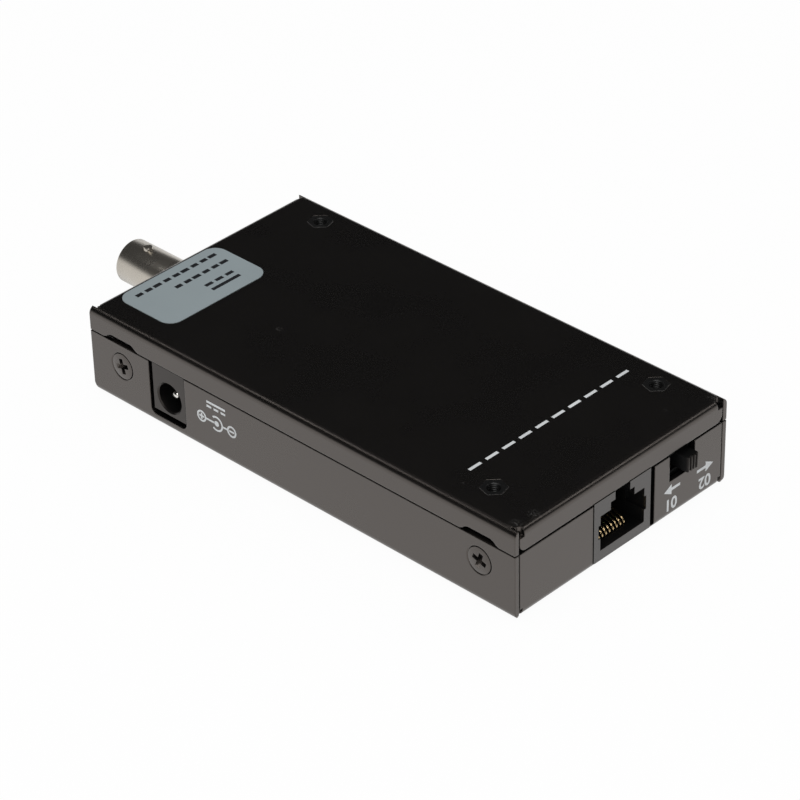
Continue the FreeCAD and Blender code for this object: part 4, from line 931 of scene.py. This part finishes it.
# Coaxial socket: a nickel-plated brass shell turned from bar, with two bayonet lugs pressed in. It passes
# the end wall, where a hexagon nut clamps it. A white insulator holds the gold centre contact.
SHELL_AXIS = 8.34
SHELL_RADIUS = 4.8
SHELL_BORE = 4.05
BORE_DEEP = 8.4
INSULATOR_HOLE = 2.42
LUG_BACK = 5.1
LUG_RADIUS = 1.0
LUG_REACH = 5.5
FINE_PITCH = 0.8
NUT_ACROSS = 12.7
NUT_CORNER = 7.33
NUT_CHAMFER = 0.6
NUT_RINGS = 12
THREAD_DEEP = 0.3
RIM = 0.22
BORE_RIM = 0.2
LUG_ROOT = 4.3
nickel, _, _ = finish(
    "turned_nickel", (0.5, 0.465, 0.41, 1.0), 0.27, 2600.0, 0.003, stretch=(1.0, 0.08, 0.08), Metallic=0.93
)
low, high = corners("coax_shell")
nut_low, nut_high = corners("coax_nut")


def fine_thread(along):
    """Radius of the shell's outside thread at a length along it."""
    def reach(angle):
        phase = (along / FINE_PITCH - angle / (2 * math.pi)) % 1.0
        return SHELL_RADIUS - THREAD_DEEP * (1 - abs(2 * phase - 1))
    return reach


profile = [
    (low.x, SHELL_BORE + BORE_RIM),
    (low.x, SHELL_RADIUS - RIM),
    (low.x + 0.07, SHELL_RADIUS - 0.07),
    (low.x + RIM, SHELL_RADIUS),
    (nut_low.x - 3.4, SHELL_RADIUS),
    (nut_low.x - 3.2, SHELL_RADIUS - THREAD_DEEP),
]
along = nut_low.x - 3.0
while along < nut_high.x:
    profile.append((along, fine_thread(along)))
    along += FINE_PITCH / 6
profile += [
    (nut_high.x + 0.2, SHELL_RADIUS),
    (high.x, SHELL_RADIUS),
    (high.x, INSULATOR_HOLE),
    (low.x + BORE_DEEP, INSULATOR_HOLE),
    (low.x + BORE_DEEP, SHELL_BORE),
    (low.x + BORE_RIM, SHELL_BORE),
    (low.x, SHELL_BORE + BORE_RIM),
]
shell = bmesh.new()
turned_form(shell, profile, steps=96, place=(0.0, 0.0, SHELL_AXIS), axis="x")
for way in (1, -1):
    lug = [(way * LUG_ROOT, 0.0), (way * LUG_ROOT, LUG_RADIUS), (way * (LUG_REACH - 0.35), LUG_RADIUS)]
    lug += [(way * (LUG_REACH - 0.12), LUG_RADIUS * 0.86), (way * (LUG_REACH - 0.02), LUG_RADIUS * 0.5)]
    lug += [(way * LUG_REACH, 0.0)]
    turned_form(shell, lug, steps=28, place=(low.x + LUG_BACK, 0.0, SHELL_AXIS))
make_piece("coax_shell_turned", shell, nickel, stands_for=("coax_shell",))

nut = bmesh.new()
nut_profile = [(nut_low.x, SHELL_RADIUS)]
for ring_number in range(NUT_RINGS + 1):
    share = ring_number / NUT_RINGS
    limit = NUT_ACROSS / 2 - 0.1 + (NUT_CORNER - NUT_ACROSS / 2 + 0.1) * share
    nut_profile.append((nut_low.x + NUT_CHAMFER * share, hexagon_reach(NUT_ACROSS, 0.0, limit)))
nut_profile.append((nut_high.x, hexagon_reach(NUT_ACROSS, 0.0, NUT_CORNER)))
nut_profile.append((nut_high.x, SHELL_RADIUS))
turned_form(nut, nut_profile, steps=120, place=(0.0, 0.0, SHELL_AXIS), axis="x")
make_piece("coax_nut_chamfered", nut, nickel, stands_for=("coax_nut",))

white_plastic, _, _ = finish("insulator_plastic", (0.8, 0.79, 0.75, 1.0), 0.4, 1200.0, 0.006)
dress(white_plastic, "coax_insulator")
dress(gold, "coax_contact")
dress(socket_skin, "coax_block")


# Indicator lamps: three clear moulded lenses just inside holes in the cover plate, in one black holder.
# Each has a domed end, and is milky enough to spread the light of the chip behind it.
LENS_STEPS = 8
LENS_RIM = 0.9
lens, _, _ = finish(
    "lamp_lens", (0.72, 0.85, 0.76, 1.0), 0.16, 700.0, 0.003, IOR=1.5, Transmission_Weight=0.45
)
for number in range(1, 4):
    name = "indicator_lamp_%d" % number
    low, high = corners(name)
    middle = (low + high) / 2
    radius = (high.x - low.x) / 2
    profile = []
    for i in range(LENS_STEPS + 1):
        angle = math.pi / 2 * i / LENS_STEPS
        profile.append((low.z + radius * (1 - math.cos(angle)), radius * math.sin(angle)))
    profile += [(high.z - LENS_RIM, radius), (high.z, radius), (high.z, 0.0)]
    form = bmesh.new()
    turned_form(form, profile, steps=40, place=(middle.x, middle.y, 0.0))
    make_piece(name + "_domed", form, lens, stands_for=(name,))
